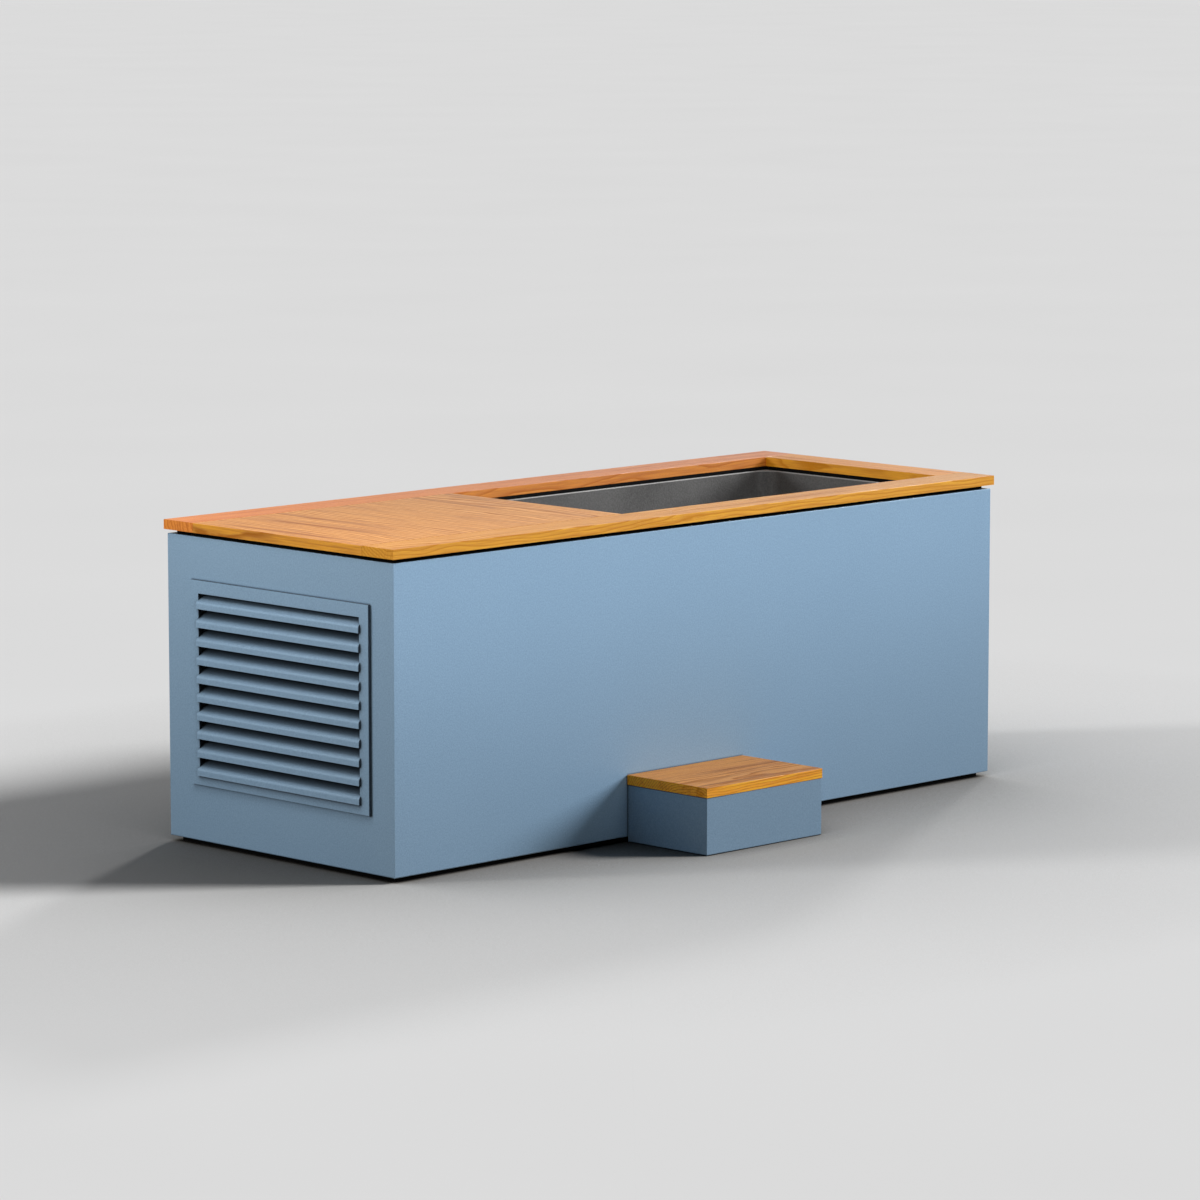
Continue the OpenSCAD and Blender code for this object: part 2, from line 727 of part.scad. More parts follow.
// The round on the rim's inner edge
module flare_section(l) difference() {
    translate([-l, 0]) square([l + rim_r, rim_r + eps]);
    translate([rim_r, 0]) circle(rim_r);
    translate([rim_r, 0]) square([rim_r, rim_r]);
}
module rim_flare() translate([0, 0, cab_top - rim_r]) {
    for (x = [tub_x0 + tub_r, tub_x1 - tub_r], y = [tub_y0 + tub_r, tub_y1 - tub_r])
        translate([x, y, 0]) rotate_extrude() intersection() {
            translate([tub_r, 0]) flare_section(tub_r);
            square([2 * tub_r, 2 * tub_r]);
        }
    for (side = [0, 1]) {
        translate([tub_x0 + tub_r, side == 0 ? tub_y0 : tub_y1, 0]) mirror([0, 1 - side, 0])
            rotate([90, 0, 90]) linear_extrude(tub_x1 - tub_x0 - 2 * tub_r) flare_section(tub_r);
        translate([side == 0 ? tub_x0 : tub_x1, tub_y1 - tub_r, 0]) mirror([1 - side, 0, 0])
            rotate([90, 0, 0]) linear_extrude(tub_y1 - tub_y0 - 2 * tub_r) flare_section(tub_r);
    }
}
// Holes along X at the two wall fittings
module wall_holes(d) for (p = [suction_at, return_at])
    translate([bulk_x - eps, p[0], p[1]]) rotate([0, 90, 0])
        cylinder(h = tub_x0 - bulk_x + 2 * eps, d = d);

module tub_shell() color(c_tub) at_origin() difference() {
    tub_form(tub_wall, z_seat);
    tub_form(0, z_seat + eps);
    wall_holes(body_d + 2 * fit);
    translate([tub_x0 + drain_x, cab_w / 2, z_tub - tub_wall - eps])
        cylinder(h = tub_wall + 2 * eps, d = body_d + 2 * fit);
}

// Flat rim on the tub's upper edge
module tub_rim() color(c_tub) at_origin() difference() {
    translate([rim_x0, rim_edge, z_seat])
        cube([cab_l - rim_edge - rim_x0, cab_w - 2 * rim_edge, panel_t]);
    tub_form(0, cab_top + eps);
    rim_flare();
    bolt_holes(z_seat - eps, panel_t + 2 * eps, bolt_d + 2 * turn);
}

module tub_foam_walls() color(c_foam) at_origin() {
    y0 = tub_y0 - tub_wall;
    y1 = tub_y1 + tub_wall;
    x1 = tub_x1 + tub_wall;
    h = z_seat - z_floor;
    difference() {
        translate([x_wall - foam_t, y0 + turn, z_floor]) cube([foam_t, y1 - y0 - 2 * turn, h]);
        wall_holes(nut_d + 2 * foam_cut);
        translate([x_wall - foam_t - eps, cab_w / 2 - nut_d / 2, z_floor - eps])
            cube([foam_t + 2 * eps, nut_d, z_drain + nut_d / 2 - z_floor]);
    }
    translate([x1, y0 + turn, z_floor]) cube([foam_t, y1 - y0 - 2 * turn, h]);
    for (y = [y0 - foam_t, y1])
        translate([x_wall - foam_t, y, z_floor]) cube([x1 - x_wall + 2 * foam_t, foam_t, h]);
}

module tub_foam_floor() color(c_foam) at_origin() difference() {
    translate([x_wall, tub_y0 - tub_wall, z_floor])
        cube([tub_x1 - tub_x0 + 2 * tub_wall, tub_y1 - tub_y0 + 2 * tub_wall, z_tub - tub_wall - z_floor]);
    translate([x_wall - eps, cab_w / 2 - nut_d / 2 - foam_cut, z_floor - eps])
        cube([drain_x + tub_wall + nut_d / 2 + foam_cut, nut_d + 2 * foam_cut, z_tub - z_floor]);
}

// Fittings of the tub

module strainer_slots() for (k = [-2:2])
    translate([-pipe_r, k * slot_pitch - slot_w / 2, strainer_t - eps]) cube([pipe_d, slot_w, fitting_t]);

// A fitting through the tub's wall along X: flange with a grille, threaded body and pipe stub
module wall_fitting(p) translate([tub_x0, p[0], p[1]]) rotate([0, 90, 0]) difference() {
    back = tub_x0 - x_stub;
    thread = tub_wall + nut_t + thread_past;
    union() {
        cylinder(h = fitting_t, d1 = fitting_d, d2 = fitting_d - flange_taper);
        translate([0, 0, -thread]) cylinder(h = thread + eps, d = body_d);
        translate([0, 0, -back]) cylinder(h = back, d = pipe_d);
    }
    translate([0, 0, -back - eps]) cylinder(h = back + eps + strainer_t, d = port_d);
    strainer_slots();
}

module suction_fitting() color(c_zinc) at_origin() wall_fitting(suction_at);
module return_fitting() color(c_zinc) at_origin() wall_fitting(return_at);

module drain_fitting() color(c_zinc) at_origin()
    translate([tub_x0 + drain_x, cab_w / 2, z_tub]) difference() {
        drop = z_tub - z_drain;
        union() {
            cylinder(h = fitting_t, d1 = fitting_d, d2 = fitting_d - flange_taper);
            translate([0, 0, -tub_wall - nut_t - eps]) cylinder(h = tub_wall + nut_t + 2 * eps, d = body_d);
            translate([0, 0, -drop - pipe_r]) cylinder(h = drop + pipe_r, d = pipe_d + 2 * pipe_wall);
            translate([0, 0, -drop]) rotate([0, -90, 0]) cylinder(h = spigot_l, d = pipe_d);
        }
        translate([0, 0, -drop - port_d / 2])
            cylinder(h = drop + port_d / 2 + strainer_t, d = port_d - eps);
        translate([0, 0, -drop]) rotate([0, -90, 0]) cylinder(h = spigot_l + eps, d = port_d);
        strainer_slots();
    }

module nut() difference() {
    cylinder(h = nut_t, d = nut_d, $fn = 6);
    translate([0, 0, -eps]) cylinder(h = nut_t + 2 * eps, d = body_d + 2 * run);
}
module fitting_nuts() color(c_zinc) at_origin() {
    for (p = [suction_at, return_at])
        translate([x_wall - nut_t, p[0], p[1]]) rotate([0, 90, 0]) nut();
    translate([tub_x0 + drain_x, cab_w / 2, z_tub - tub_wall - nut_t]) nut();
}

// Water circuit: tub, pump, filter, heat exchanger, tub

suction_end = pump_x + wet_l / 2 + nip;
filter_in_y = filter_y - filter_d / 2 - nip;
filter_out_x = pump_x - filter_d / 2 - nip;
exchanger_port = exchanger_x + exchanger_d / 2 + nip;
filter_run_x = (filter_out_x + exchanger_port) / 2;
suction_drop_x = x_stub - pipe_bend - socket_l;

module suction_pipe() color(c_pvc) at_origin() water_pipe([
    [x_stub, suction_y, z_suction], [suction_drop_x, suction_y, z_suction],
    [suction_drop_x, suction_y, pump_z], [suction_end, suction_y, pump_z]]);

module pump_pipe() color(c_pvc) at_origin() water_pipe([
    [pump_x, suction_y, pump_z + wet_d / 2 + nip], [pump_x, suction_y, z_pump_out],
    [pump_x, filter_in_y, z_pump_out]]);

module filter_pipe() color(c_pvc) at_origin() water_pipe([
    [filter_out_x, filter_y, z_filter_out], [filter_run_x, filter_y, z_filter_out],
    [filter_run_x, exchanger_y, z_filter_out], [exchanger_port, exchanger_y, z_filter_out]]);

module return_pipe() color(c_pvc) at_origin() water_pipe([
    [exchanger_port, exchanger_y, z_exchanger_out], [return_run_x, exchanger_y, z_exchanger_out],
    [return_run_x, exchanger_y, z_return], [return_run_x, return_y, z_return],
    [x_stub, return_y, z_return]]);

module drain_pipe() color(c_pvc) at_origin() water_pipe([
    [tub_x0 + drain_x - spigot_l, cab_w / 2, z_drain], [drain_run_x, cab_w / 2, z_drain],
    [drain_run_x, valve_y - valve_l / 2, z_drain]]);

module drain_tail() color(c_pvc) at_origin() water_pipe([
    [drain_run_x, valve_y + valve_l / 2, z_drain], [drain_run_x, cab_w - panel_t - outlet_in, z_drain]]);

// Ball valve across the drain run
module at_valve() translate([drain_run_x, valve_y, z_drain]) children();
module drain_valve_body() color(c_brass) at_origin() at_valve() difference() {
    union() {
        translate([0, valve_l / 2, 0]) rotate([90, 0, 0]) cylinder(h = valve_l, d = valve_d);
        cylinder(h = lever_up - stem_d, d = 2 * stem_d);
    }
    sphere(ball_r + turn);
    translate([0, valve_l, 0]) rotate([90, 0, 0]) cylinder(h = 2 * valve_l, d = ball_bore);
    cylinder(h = lever_up, d = stem_d + 2 * run);
}

module drain_valve_lever() color(c_red) at_origin() at_valve() {
    difference() {
        sphere(ball_r);
        translate([-2 * ball_r, 0, 0]) rotate([0, 90, 0]) cylinder(h = 4 * ball_r, d = ball_bore);
    }
    translate([0, 0, ball_r - eps]) cylinder(h = lever_up - ball_r + eps + lever_t, d = stem_d);
    translate([0, 0, lever_up]) rotate([0, 0, 180]) {
        translate([0, -lever_w / 2, 0]) cube([lever_l - lever_w / 2, lever_w, lever_t]);
        for (x = [0, lever_l - lever_w / 2]) translate([x, 0, 0]) cylinder(h = lever_t, d = lever_w);
    }
}

module drain_outlet() color(c_zinc) at_origin()
    translate([drain_run_x, cab_w, z_drain]) rotate([-90, 0, 0]) difference() {
        union() {
            cylinder(h = outlet_flange_t, d = outlet_flange_d);
            translate([0, 0, -panel_t - outlet_in]) cylinder(h = panel_t + outlet_in + eps, d = outlet_d);
        }
        translate([0, 0, -panel_t - hose_in])
            cylinder(h = panel_t + hose_in + outlet_flange_t + eps, d = hose_d);
        translate([0, 0, -panel_t - outlet_in - eps]) cylinder(h = outlet_in, d = ball_bore);
    }

// Pump: wet end with two ports, finned motor and foot
module pump_port(l) difference() {
    cylinder(h = l, d = pipe_d);
    translate([0, 0, l - nip]) cylinder(h = nip + eps, d = port_d);
}
module pump() color(c_steel) at_origin() translate([pump_x, suction_y, pump_z]) {
    translate([-wet_l / 2, 0, 0]) rotate([0, 90, 0]) cylinder(h = wet_l, d = wet_d);
    rotate([0, 90, 0]) pump_port(wet_l / 2 + nip);
    pump_port(wet_d / 2 + nip);
    translate([-wet_l / 2 - pump_motor_l, 0, 0]) rotate([0, 90, 0]) {
        cylinder(h = pump_motor_l, d = pump_motor_d - 2 * pump_fin_h);
        cylinder(h = pump_fin_gap, d = pump_motor_d);
        for (k = [0:pump_fin_n - 1]) rotate([0, 0, 360 * k / pump_fin_n])
            translate([pump_motor_d / 2 - pump_fin_h - eps, -pump_fin_t / 2, pump_fin_gap - eps])
                cube([pump_fin_h + eps, pump_fin_t, pump_motor_l - 2 * pump_fin_gap]);
    }
    translate([-wet_l / 2 - pump_foot_l + wet_l, -pump_foot_w / 2, z_floor - pump_z])
        cube([pump_foot_l, pump_foot_w, pump_foot_t]);
    for (x = [-wet_l / 2 - pump_foot_l + wet_l, -pump_leg_l / 2])
        translate([x, -pump_foot_w / 4, z_floor - pump_z])
            cube([pump_leg_l, pump_foot_w / 2, pump_z - z_floor - pump_motor_d / 3]);
}

// Filter: housing with a flanged mouth, pleated cartridge and a lid with a plug
filter_r = filter_d / 2;
filter_in_r = filter_r - filter_wall;
mouth_r = filter_r + 14;
at_filter = [pump_x, filter_y, z_floor];
module filter_ports(l, d) {
    for (p = [[z_pump_out, -90], [z_filter_out, 180]])
        translate([0, 0, p[0] - z_floor]) rotate([0, 0, p[1]]) rotate([0, 90, 0])
            translate([0, 0, filter_in_r - l]) cylinder(h = filter_wall + nip + 2 * l, d = d);
}
module filter_housing() color(c_pvc) at_origin() translate(at_filter) difference() {
    union() {
        cylinder(h = filter_h, r = filter_r);
        translate([0, 0, filter_h - mouth_t]) cylinder(h = mouth_t, r = mouth_r);
        cylinder(h = filter_foot_t, r = mouth_r);
        filter_ports(0, pipe_d);
    }
    translate([0, 0, cart_z]) cylinder(h = filter_h, r = filter_in_r);
    filter_ports(eps, port_d);
}

module filter_lid() color(c_steel) at_origin() translate(at_filter) translate([0, 0, filter_h]) {
    cylinder(h = lid_h - lid_dome, r = mouth_r);
    translate([0, 0, lid_h - lid_dome]) cylinder(h = lid_dome, r1 = mouth_r, r2 = mouth_r - lid_bevel);
    translate([0, 0, -lid_plug]) cylinder(h = lid_plug + eps, r = filter_in_r - turn);
    for (k = [0:lid_grip_n - 1]) rotate([0, 0, 360 * k / lid_grip_n])
        translate([filter_r, -lid_grip_w / 2, lid_grip_h])
            cube([mouth_r + lid_grip_h - filter_r, lid_grip_w, lid_h - lid_dome - 2 * lid_grip_h]);
}

// Star of folded paper between two end caps, round a core
pleat_out = filter_in_r - 12;
pleat_in = pleat_out - 22;
cart_h = filter_h - lid_plug - cart_z - eps;
module filter_cartridge() color(c_paper) at_origin() translate(at_filter) translate([0, 0, cart_z])
    difference() {
        union() {
            linear_extrude(cart_h) polygon([for (i = [0:2 * pleat_n - 1])
                let (r = i % 2 == 0 ? pleat_out : pleat_in, a = 180 * i / pleat_n) r * [cos(a), sin(a)]]);
            for (z = [0, cart_h - cap_t]) translate([0, 0, z])
                cylinder(h = cap_t, r = pleat_out + cap_over);
        }
        translate([0, 0, -eps]) cylinder(h = cart_h + 2 * eps, r = core_r);
    }

// Chiller: tray, condenser, shroud, fan, motor, compressor and heat exchanger

module chiller_tray() color(c_zinc) at_origin() translate([tray_x0, tray_y0, z_floor]) difference() {
    cube([tray_l, tray_w, tray_lip]);
    translate([tray_t, tray_t, tray_t]) cube([tray_l - 2 * tray_t, tray_w - 2 * tray_t, tray_lip]);
}

module condenser() color(c_zinc) at_origin() translate([coil_x, coil_y, z_tray]) {
    fin_gap = (coil_w - 2 * plate_t) / (fin_n + 1);
    tube_gap = coil_h / coil_tube_n;
    for (y = [0, coil_w - plate_t]) translate([0, y, 0]) cube([coil_t, plate_t, coil_lift + coil_h]);
    for (z = [coil_lift - plate_t, coil_lift + coil_h - plate_t])
        translate([0, 0, z]) cube([coil_t, coil_w, plate_t]);
    for (i = [1:fin_n]) translate([fin_in, plate_t + i * fin_gap - fin_t / 2, coil_lift])
        cube([coil_t - 2 * fin_in, fin_t, coil_h - 2 * plate_t]);
    for (i = [0:coil_tube_n - 1]) translate([coil_t / 2, -coil_tube_past, coil_lift + tube_gap * (i + 0.5)])
        rotate([-90, 0, 0]) cylinder(h = coil_w + 2 * coil_tube_past, d = coil_tube_d);
}

module fan_shroud() color(c_black) at_origin() difference() {
    union() {
        translate([shroud_x, coil_y, z_tray]) cube([shroud_t, coil_w, coil_lift + coil_h]);
        at_fan(shroud_x) cylinder(h = shroud_t + ring_l, d = fan_d + 2 * fan_gap + 2 * ring_t);
    }
    at_fan(shroud_x - eps) cylinder(h = shroud_t + ring_l + 2 * eps, d = fan_d + 2 * fan_gap);
}

module at_fan(x) translate([x, fan_y, fan_z]) rotate([0, 90, 0]) children();

module fan() color(c_black) at_origin() at_fan(fan_x) {
    cylinder(h = hub_l, d = hub_d);
    cylinder(h = motor_x - fan_x + shaft_in, d = fan_shaft_d);
    for (k = [0:fan_n - 1]) rotate([0, 0, 360 * k / fan_n]) intersection() {
        cylinder(h = hub_l, d = fan_d);
        translate([0, 0, hub_l / 2]) rotate([fan_pitch, 0, 0]) translate([0, 0, -vane_t / 2])
            linear_extrude(vane_t) polygon([[hub_d / 3, -root_w / 2], [fan_d / 2 + eps, -tip_lead],
                                            [fan_d / 2 + eps, tip_trail], [hub_d / 3, root_w / 2]]);
    }
}

module fan_motor() color(c_steel) at_origin() at_fan(motor_x) difference() {
    arm_x = shroud_x + shroud_t - motor_x;
    arm_out = fan_d / 2 + fan_gap + ring_t + arm_gap;
    union() {
        cylinder(h = motor_l, d = motor_d);
        for (k = [0:arm_n - 1]) rotate([0, 0, 360 * k / arm_n + 180]) {
            translate([motor_d / 2 - arm_t, -arm_w / 2, motor_l - arm_t])
                cube([arm_out - motor_d / 2 + arm_t, arm_w, arm_t]);
            translate([arm_out - arm_t, -arm_w / 2, arm_x]) cube([arm_t, arm_w, motor_l - arm_x]);
        }
    }
    translate([0, 0, -eps]) cylinder(h = shaft_in + 2 * eps, d = fan_shaft_d + 2 * run);
}

// Domed steel can on three feet
module compressor() color(c_black) at_origin() translate([comp_x, comp_y, z_tray]) {
    dome = comp_d / 5;
    rotate_extrude() intersection() {
        square([comp_d, comp_h]);
        union() {
            translate([0, foot_h + dome]) square([comp_d / 2, comp_h - foot_h - 2 * dome]);
            for (z = [foot_h + dome, comp_h - dome]) {
                translate([comp_d / 2 - dome, z]) circle(dome);
                translate([0, z - dome]) square([comp_d / 2 - dome, 2 * dome]);
            }
        }
    }
    for (k = [0:2]) rotate([0, 0, 120 * k + 30]) {
        translate([0, -foot_d / 2, foot_h]) cube([comp_d / 2, foot_d, foot_t]);
        translate([comp_d / 2 - foot_t, 0, 0]) cylinder(h = foot_h + foot_t + eps, d = foot_d);
    }
}

module heat_exchanger() color(c_zinc) at_origin() translate([exchanger_x, exchanger_y, z_tray]) difference() {
    union() {
        cylinder(h = exchanger_h, d = exchanger_d);
        for (z = [0, exchanger_h - exchanger_cap_t]) translate([0, 0, z])
            cylinder(h = exchanger_cap_t, d = exchanger_d + 2 * exchanger_cap_over);
        for (z = [z_filter_out, z_exchanger_out]) translate([0, 0, z - z_tray])
            rotate([0, 90, 0]) cylinder(h = exchanger_d / 2 + nip, d = pipe_d);
    }
    for (z = [z_filter_out, z_exchanger_out]) translate([exchanger_d / 2, 0, z - z_tray])
        rotate([0, 90, 0]) cylinder(h = nip + eps, d = port_d);
}

// Copper lines between compressor, condenser and heat exchanger
line_d = 10;
line_bend = 16;
line_off = 25;      // the lines' distance from the axis of the heat exchanger
line_in = 60;       // the cold line's distance from the condenser's end
z_line = z_tray + exchanger_h + 3 * line_bend;
module refrigerant_pipes() color(c_copper) at_origin() {
    coil_line_x = coil_x + coil_t / 2;
    coil_line_y = coil_y + line_in;
    coil_top = z_tray + coil_lift + coil_h;
    hx_top = z_tray + exchanger_h;
    for (path = [
        [[comp_x - line_off, comp_y, z_tray + comp_h], [comp_x - line_off, comp_y, z_line],
         [coil_line_x, comp_y, z_line], [coil_line_x, comp_y, coil_top]],
        [[coil_line_x, coil_line_y, coil_top], [coil_line_x, coil_line_y, z_line],
         [exchanger_x - line_off, coil_line_y, z_line], [exchanger_x - line_off, exchanger_y, z_line],
         [exchanger_x - line_off, exchanger_y, hx_top]],
        [[exchanger_x + line_off, exchanger_y, hx_top], [exchanger_x + line_off, exchanger_y, z_line],
         [exchanger_x + line_off, comp_y, z_line], [exchanger_x + line_off, comp_y, z_tray + comp_h]]
    ]) run_of(path, line_d / 2, line_bend, 0);
}

// Control box on the bulkhead
box_gap = 28;       // between the box and the return pipe
box_edge = 14;      // between the box and the chassis
box_h = 280;
box_d = 95;
box_up = 240;
box_door_t = 4;
box_rim = 6;
module control_box() color(c_grey) at_origin() {
    y = return_y + pipe_r + box_gap;
    w = cab_w - rail_in - box_edge - y;
    translate([bulk_x - box_d, y, z_floor + box_up]) {
        cube([box_d, w, box_h]);
        translate([-box_door_t, box_rim, box_rim]) cube([box_door_t, w - 2 * box_rim, box_h - 2 * box_rim]);
    }
}

gland_x = drain_run_x - 120;
gland_z = z_drain + 60;
gland_thread_d = gland_bore + 8;
gland_hex_d = gland_bore + 18;
gland_in = 14;
gland_hex_t = 8;
gland_taper = 1.5;  // the dome nut's shoulder, and half the narrowing towards its end
module gland_place(y) translate([gland_x, y, gland_z]) rotate([-90, 0, 0]) children();
module cable_gland() color(c_black) at_origin() difference() {
    union() {
        gland_place(cab_w) cylinder(h = gland_hex_t, d = gland_hex_d, $fn = 6);
        gland_place(cab_w)
            cylinder(h = gland_out, d1 = gland_hex_d - gland_taper, d2 = gland_hex_d - 3 * gland_taper);
        gland_place(cab_w - panel_t - gland_in) cylinder(h = panel_t + gland_in + eps, d = gland_thread_d);
    }
    gland_place(cab_w - panel_t - gland_in - eps)
        cylinder(h = panel_t + gland_in + gland_out + 2 * eps, d = gland_bore);
}

// Step

step_z = step_h - step_top_t;
step_body_l = step_l - 2 * step_over;
step_body_d = step_d - 2 * step_over;
step_y0 = y_front + step_over;
module step_panels() color(c_blue) at_origin() {
    for (side = [0, 1])
        translate([step_x + step_over, step_y0 + side * step_body_d, 0]) mirror([0, side, 0]) difference() {
            rotate([90, 0, 90]) linear_extrude(step_body_l) folded_section(step_z, step_fold, panel_t);
            for (x = [-eps, step_body_l - step_fold - fit])
                translate([x, panel_t, -eps]) cube([step_fold + fit + eps, step_fold, step_h]);
        }
    for (side = [0, 1])
        translate([step_x + step_over + side * step_body_l, step_y0 + step_body_d - panel_t - turn, 0])
            mirror([side, 0, 0]) rotate([90, 0, 0])
                linear_extrude(step_body_d - 2 * panel_t - 2 * turn)
                    folded_section(step_z, step_fold, panel_t);
}

module step_top() color(c_step) at_origin()
    translate([step_x, y_front, step_z]) board_x(step_l, step_d, step_top_t);

// Battens under the step's top, notched round the folds of its panels
module step_battens() color(c_step) at_origin()
    for (k = [1, 2]) translate([step_x + step_l * k / 3 - batten_w / 2, step_y0, step_z]) {
        translate([0, panel_t, -panel_t - batten_t])
            cube([batten_w, step_body_d - 2 * panel_t, batten_t]);
        translate([0, step_fold + fit, -panel_t - eps])
            cube([batten_w, step_body_d - 2 * step_fold - 2 * fit, panel_t + eps]);
    }

plinth_sides();
plinth_ends();
plinth_bearers();
chassis_lower_rails();
chassis_lower_cross();
chassis_posts();
chassis_upper_rails();
chassis_upper_cross();
floor_board();
bulkhead();
front_panel();
back_panel();
left_end_panel();
right_end_panel();
louvre_rails();
louvre_jambs();
louvre_blades();
spacer_rails();
spacer_cross();
deck_rail_front();
deck_rail_back();
deck_rail_right();
deck_bolts();
hatch_panel();
hatch_battens();
hatch_screws();
tub_shell();
tub_rim();
tub_foam_walls();
tub_foam_floor();
suction_fitting();
return_fitting();
drain_fitting();
fitting_nuts();
suction_pipe();
pump_pipe();
filter_pipe();
return_pipe();
drain_pipe();
drain_valve_body();
drain_valve_lever();
drain_tail();
drain_outlet();
pump();
filter_housing();
filter_lid();
filter_cartridge();
chiller_tray();
compressor();
condenser();
fan_shroud();
fan_motor();
fan();
heat_exchanger();
refrigerant_pipes();
control_box();
cable_gland();
step_panels();
step_top();
step_battens();
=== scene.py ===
# %% [markdown]
# # Cold plunge tub
#
# A sheet-metal cabinet with a timber deck round a sunken tub, a louvred end, a lift-off hatch and
# a loose step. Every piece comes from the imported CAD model, which is the frame of this scene: its
# nodes keep their shapes, and this file gives them finishes and eased edges, and adds a camera,
# lamps and a floor. Lengths are in metres unless a name says otherwise.

# %% Load the CAD model
import math

import bmesh
import bpy
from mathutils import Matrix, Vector

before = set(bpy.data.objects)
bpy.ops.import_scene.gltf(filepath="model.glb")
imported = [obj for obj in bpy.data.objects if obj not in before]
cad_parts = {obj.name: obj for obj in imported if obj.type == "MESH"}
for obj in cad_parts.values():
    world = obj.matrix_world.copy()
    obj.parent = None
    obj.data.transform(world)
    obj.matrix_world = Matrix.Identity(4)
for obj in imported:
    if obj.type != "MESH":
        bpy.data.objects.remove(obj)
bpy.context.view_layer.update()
scene = bpy.context.scene

# %% [markdown]
# ## Camera
#
# The photograph was taken with a long lens from a little above the deck, so its upright lines
# hardly lean. A camera can be placed by eye, but this one was fitted to the straight edges of the
# cabinet, so that the render can be laid over the photograph and compared.

# %% Camera
eye = (-9.8305, -9.7556, 2.4963)
degrees_down = 7.94
degrees_right = 44.92
lens_mm = 160.8
sensor_mm = 36
far_clip = 200

camera = bpy.data.objects.new("camera", bpy.data.cameras.new("camera"))
scene.collection.objects.link(camera)
scene.camera = camera
camera.location = eye
camera.rotation_euler = (math.radians(90 - degrees_down), 0, -math.radians(degrees_right))
camera.data.lens = lens_mm
camera.data.sensor_width = sensor_mm
camera.data.clip_end = far_clip
print("camera:", lens_mm, "mm lens,", round(Vector(eye).length, 2), "m from the origin")

# %% [markdown]
# ## View transform
#
# Blender's own choice greys strong colours, as film does. Standard shows a colour about as it is
# written, so a finish can be set by comparing its colour with the photograph's.

# %% View transform
scene.view_settings.view_transform = "Standard"
print("view transform:", scene.view_settings.view_transform)

# %% [markdown]
# ## Written colours
#
# A colour on a screen is stored along a curve, while a shader adds up light and needs it without
# the curve. Blender's colour field converts it unseen. A script has to do that itself, and then
# colours can be written as on a paint card.

# %% Written colours
def linear(hex_colour):
    """A written colour such as 'dea773' as linear RGBA. The numbers are the sRGB curve's own."""
    parts = [int(hex_colour[i:i + 2], 16) / 255 for i in (0, 2, 4)]
    return [c / 12.92 if c <= 0.04045 else ((c + 0.055) / 1.055) ** 2.4 for c in parts] + [1]


# %% [markdown]
# ## Chains of nodes
#
# A finish is a chain of small steps: a pattern, a little arithmetic, a mix of two colours. In the
# node editor each step is a box with wires. Here each step is a method that adds one node, fills
# its sockets with numbers or with other steps, and hands back its output, so a long chain reads
# like a sum.

# %% Chains of nodes
class Nodes:
    """Adds nodes to one node tree, which starts empty, and wires them."""

    def __init__(self, tree):
        self.tree = tree
        self.tree.nodes.clear()

    def node(self, kind, **settings):
        made = self.tree.nodes.new(kind)
        for key, value in settings.items():
            setattr(made, key, value)
        return made

    def put(self, socket, value):
        """Wires an output into this socket, or sets a plain value on it."""
        if hasattr(value, "links"):
            self.tree.links.new(value, socket)
        else:
            socket.default_value = value

    def math(self, operation, a, b=0.0):
        made = self.node("ShaderNodeMath", operation=operation)
        self.put(made.inputs[0], a)
        self.put(made.inputs[1], b)
        return made.outputs[0]


# %% [markdown]
# ## Patterns
#
# Image textures would need pictures and unwrapped pieces. Noise in space needs neither: it is
# read at each point's own Object coordinates, runs through a piece like the stuff it is made of,
# and moves with it. A Mapping node shifts, turns or stretches those coordinates. A Color Ramp
# turns the noise into tones, and a Mix lays one colour over another.

# %% Patterns
class Patterns(Nodes):
    """Patterns for a finish, read at self.at unless another place is given."""

    def moved(self, location=(0, 0, 0), rotation=(0, 0, 0), scale=(1, 1, 1), at=None):
        made = self.node("ShaderNodeMapping")
        self.put(made.inputs["Vector"], at or self.at)
        made.inputs["Location"].default_value = location
        made.inputs["Rotation"].default_value = rotation
        made.inputs["Scale"].default_value = scale
        return made.outputs[0]

    def noise(self, scale, detail=2.0, roughness=0.5, at=None, distortion=0.0):
        made = self.node("ShaderNodeTexNoise")
        self.put(made.inputs["Vector"], at or self.at)
        made.inputs["Scale"].default_value = scale
        made.inputs["Detail"].default_value = detail
        made.inputs["Roughness"].default_value = roughness
        made.inputs["Distortion"].default_value = distortion
        return made.outputs["Fac"]

    def ramp(self, value, *stops):
        """Each stop is a place from 0 to 1, and a written colour or the share of white there."""
        made = self.node("ShaderNodeValToRGB")
        self.put(made.inputs["Fac"], value)
        points = made.color_ramp.elements
        while len(points) < len(stops):
            points.new(0.5)
        for point, (place, colour) in zip(points, stops):
            point.position = place
            point.color = linear(colour) if isinstance(colour, str) else (colour,) * 3 + (1,)
        return made.outputs["Color"]

    def mix(self, amount, a, b, blend="MIX"):
        made = self.node("ShaderNodeMix", data_type="RGBA", blend_type=blend, clamp_result=True)
        self.put(made.inputs[0], amount)
        self.put(made.inputs[6], a)
        self.put(made.inputs[7], b)
        return made.outputs[2]
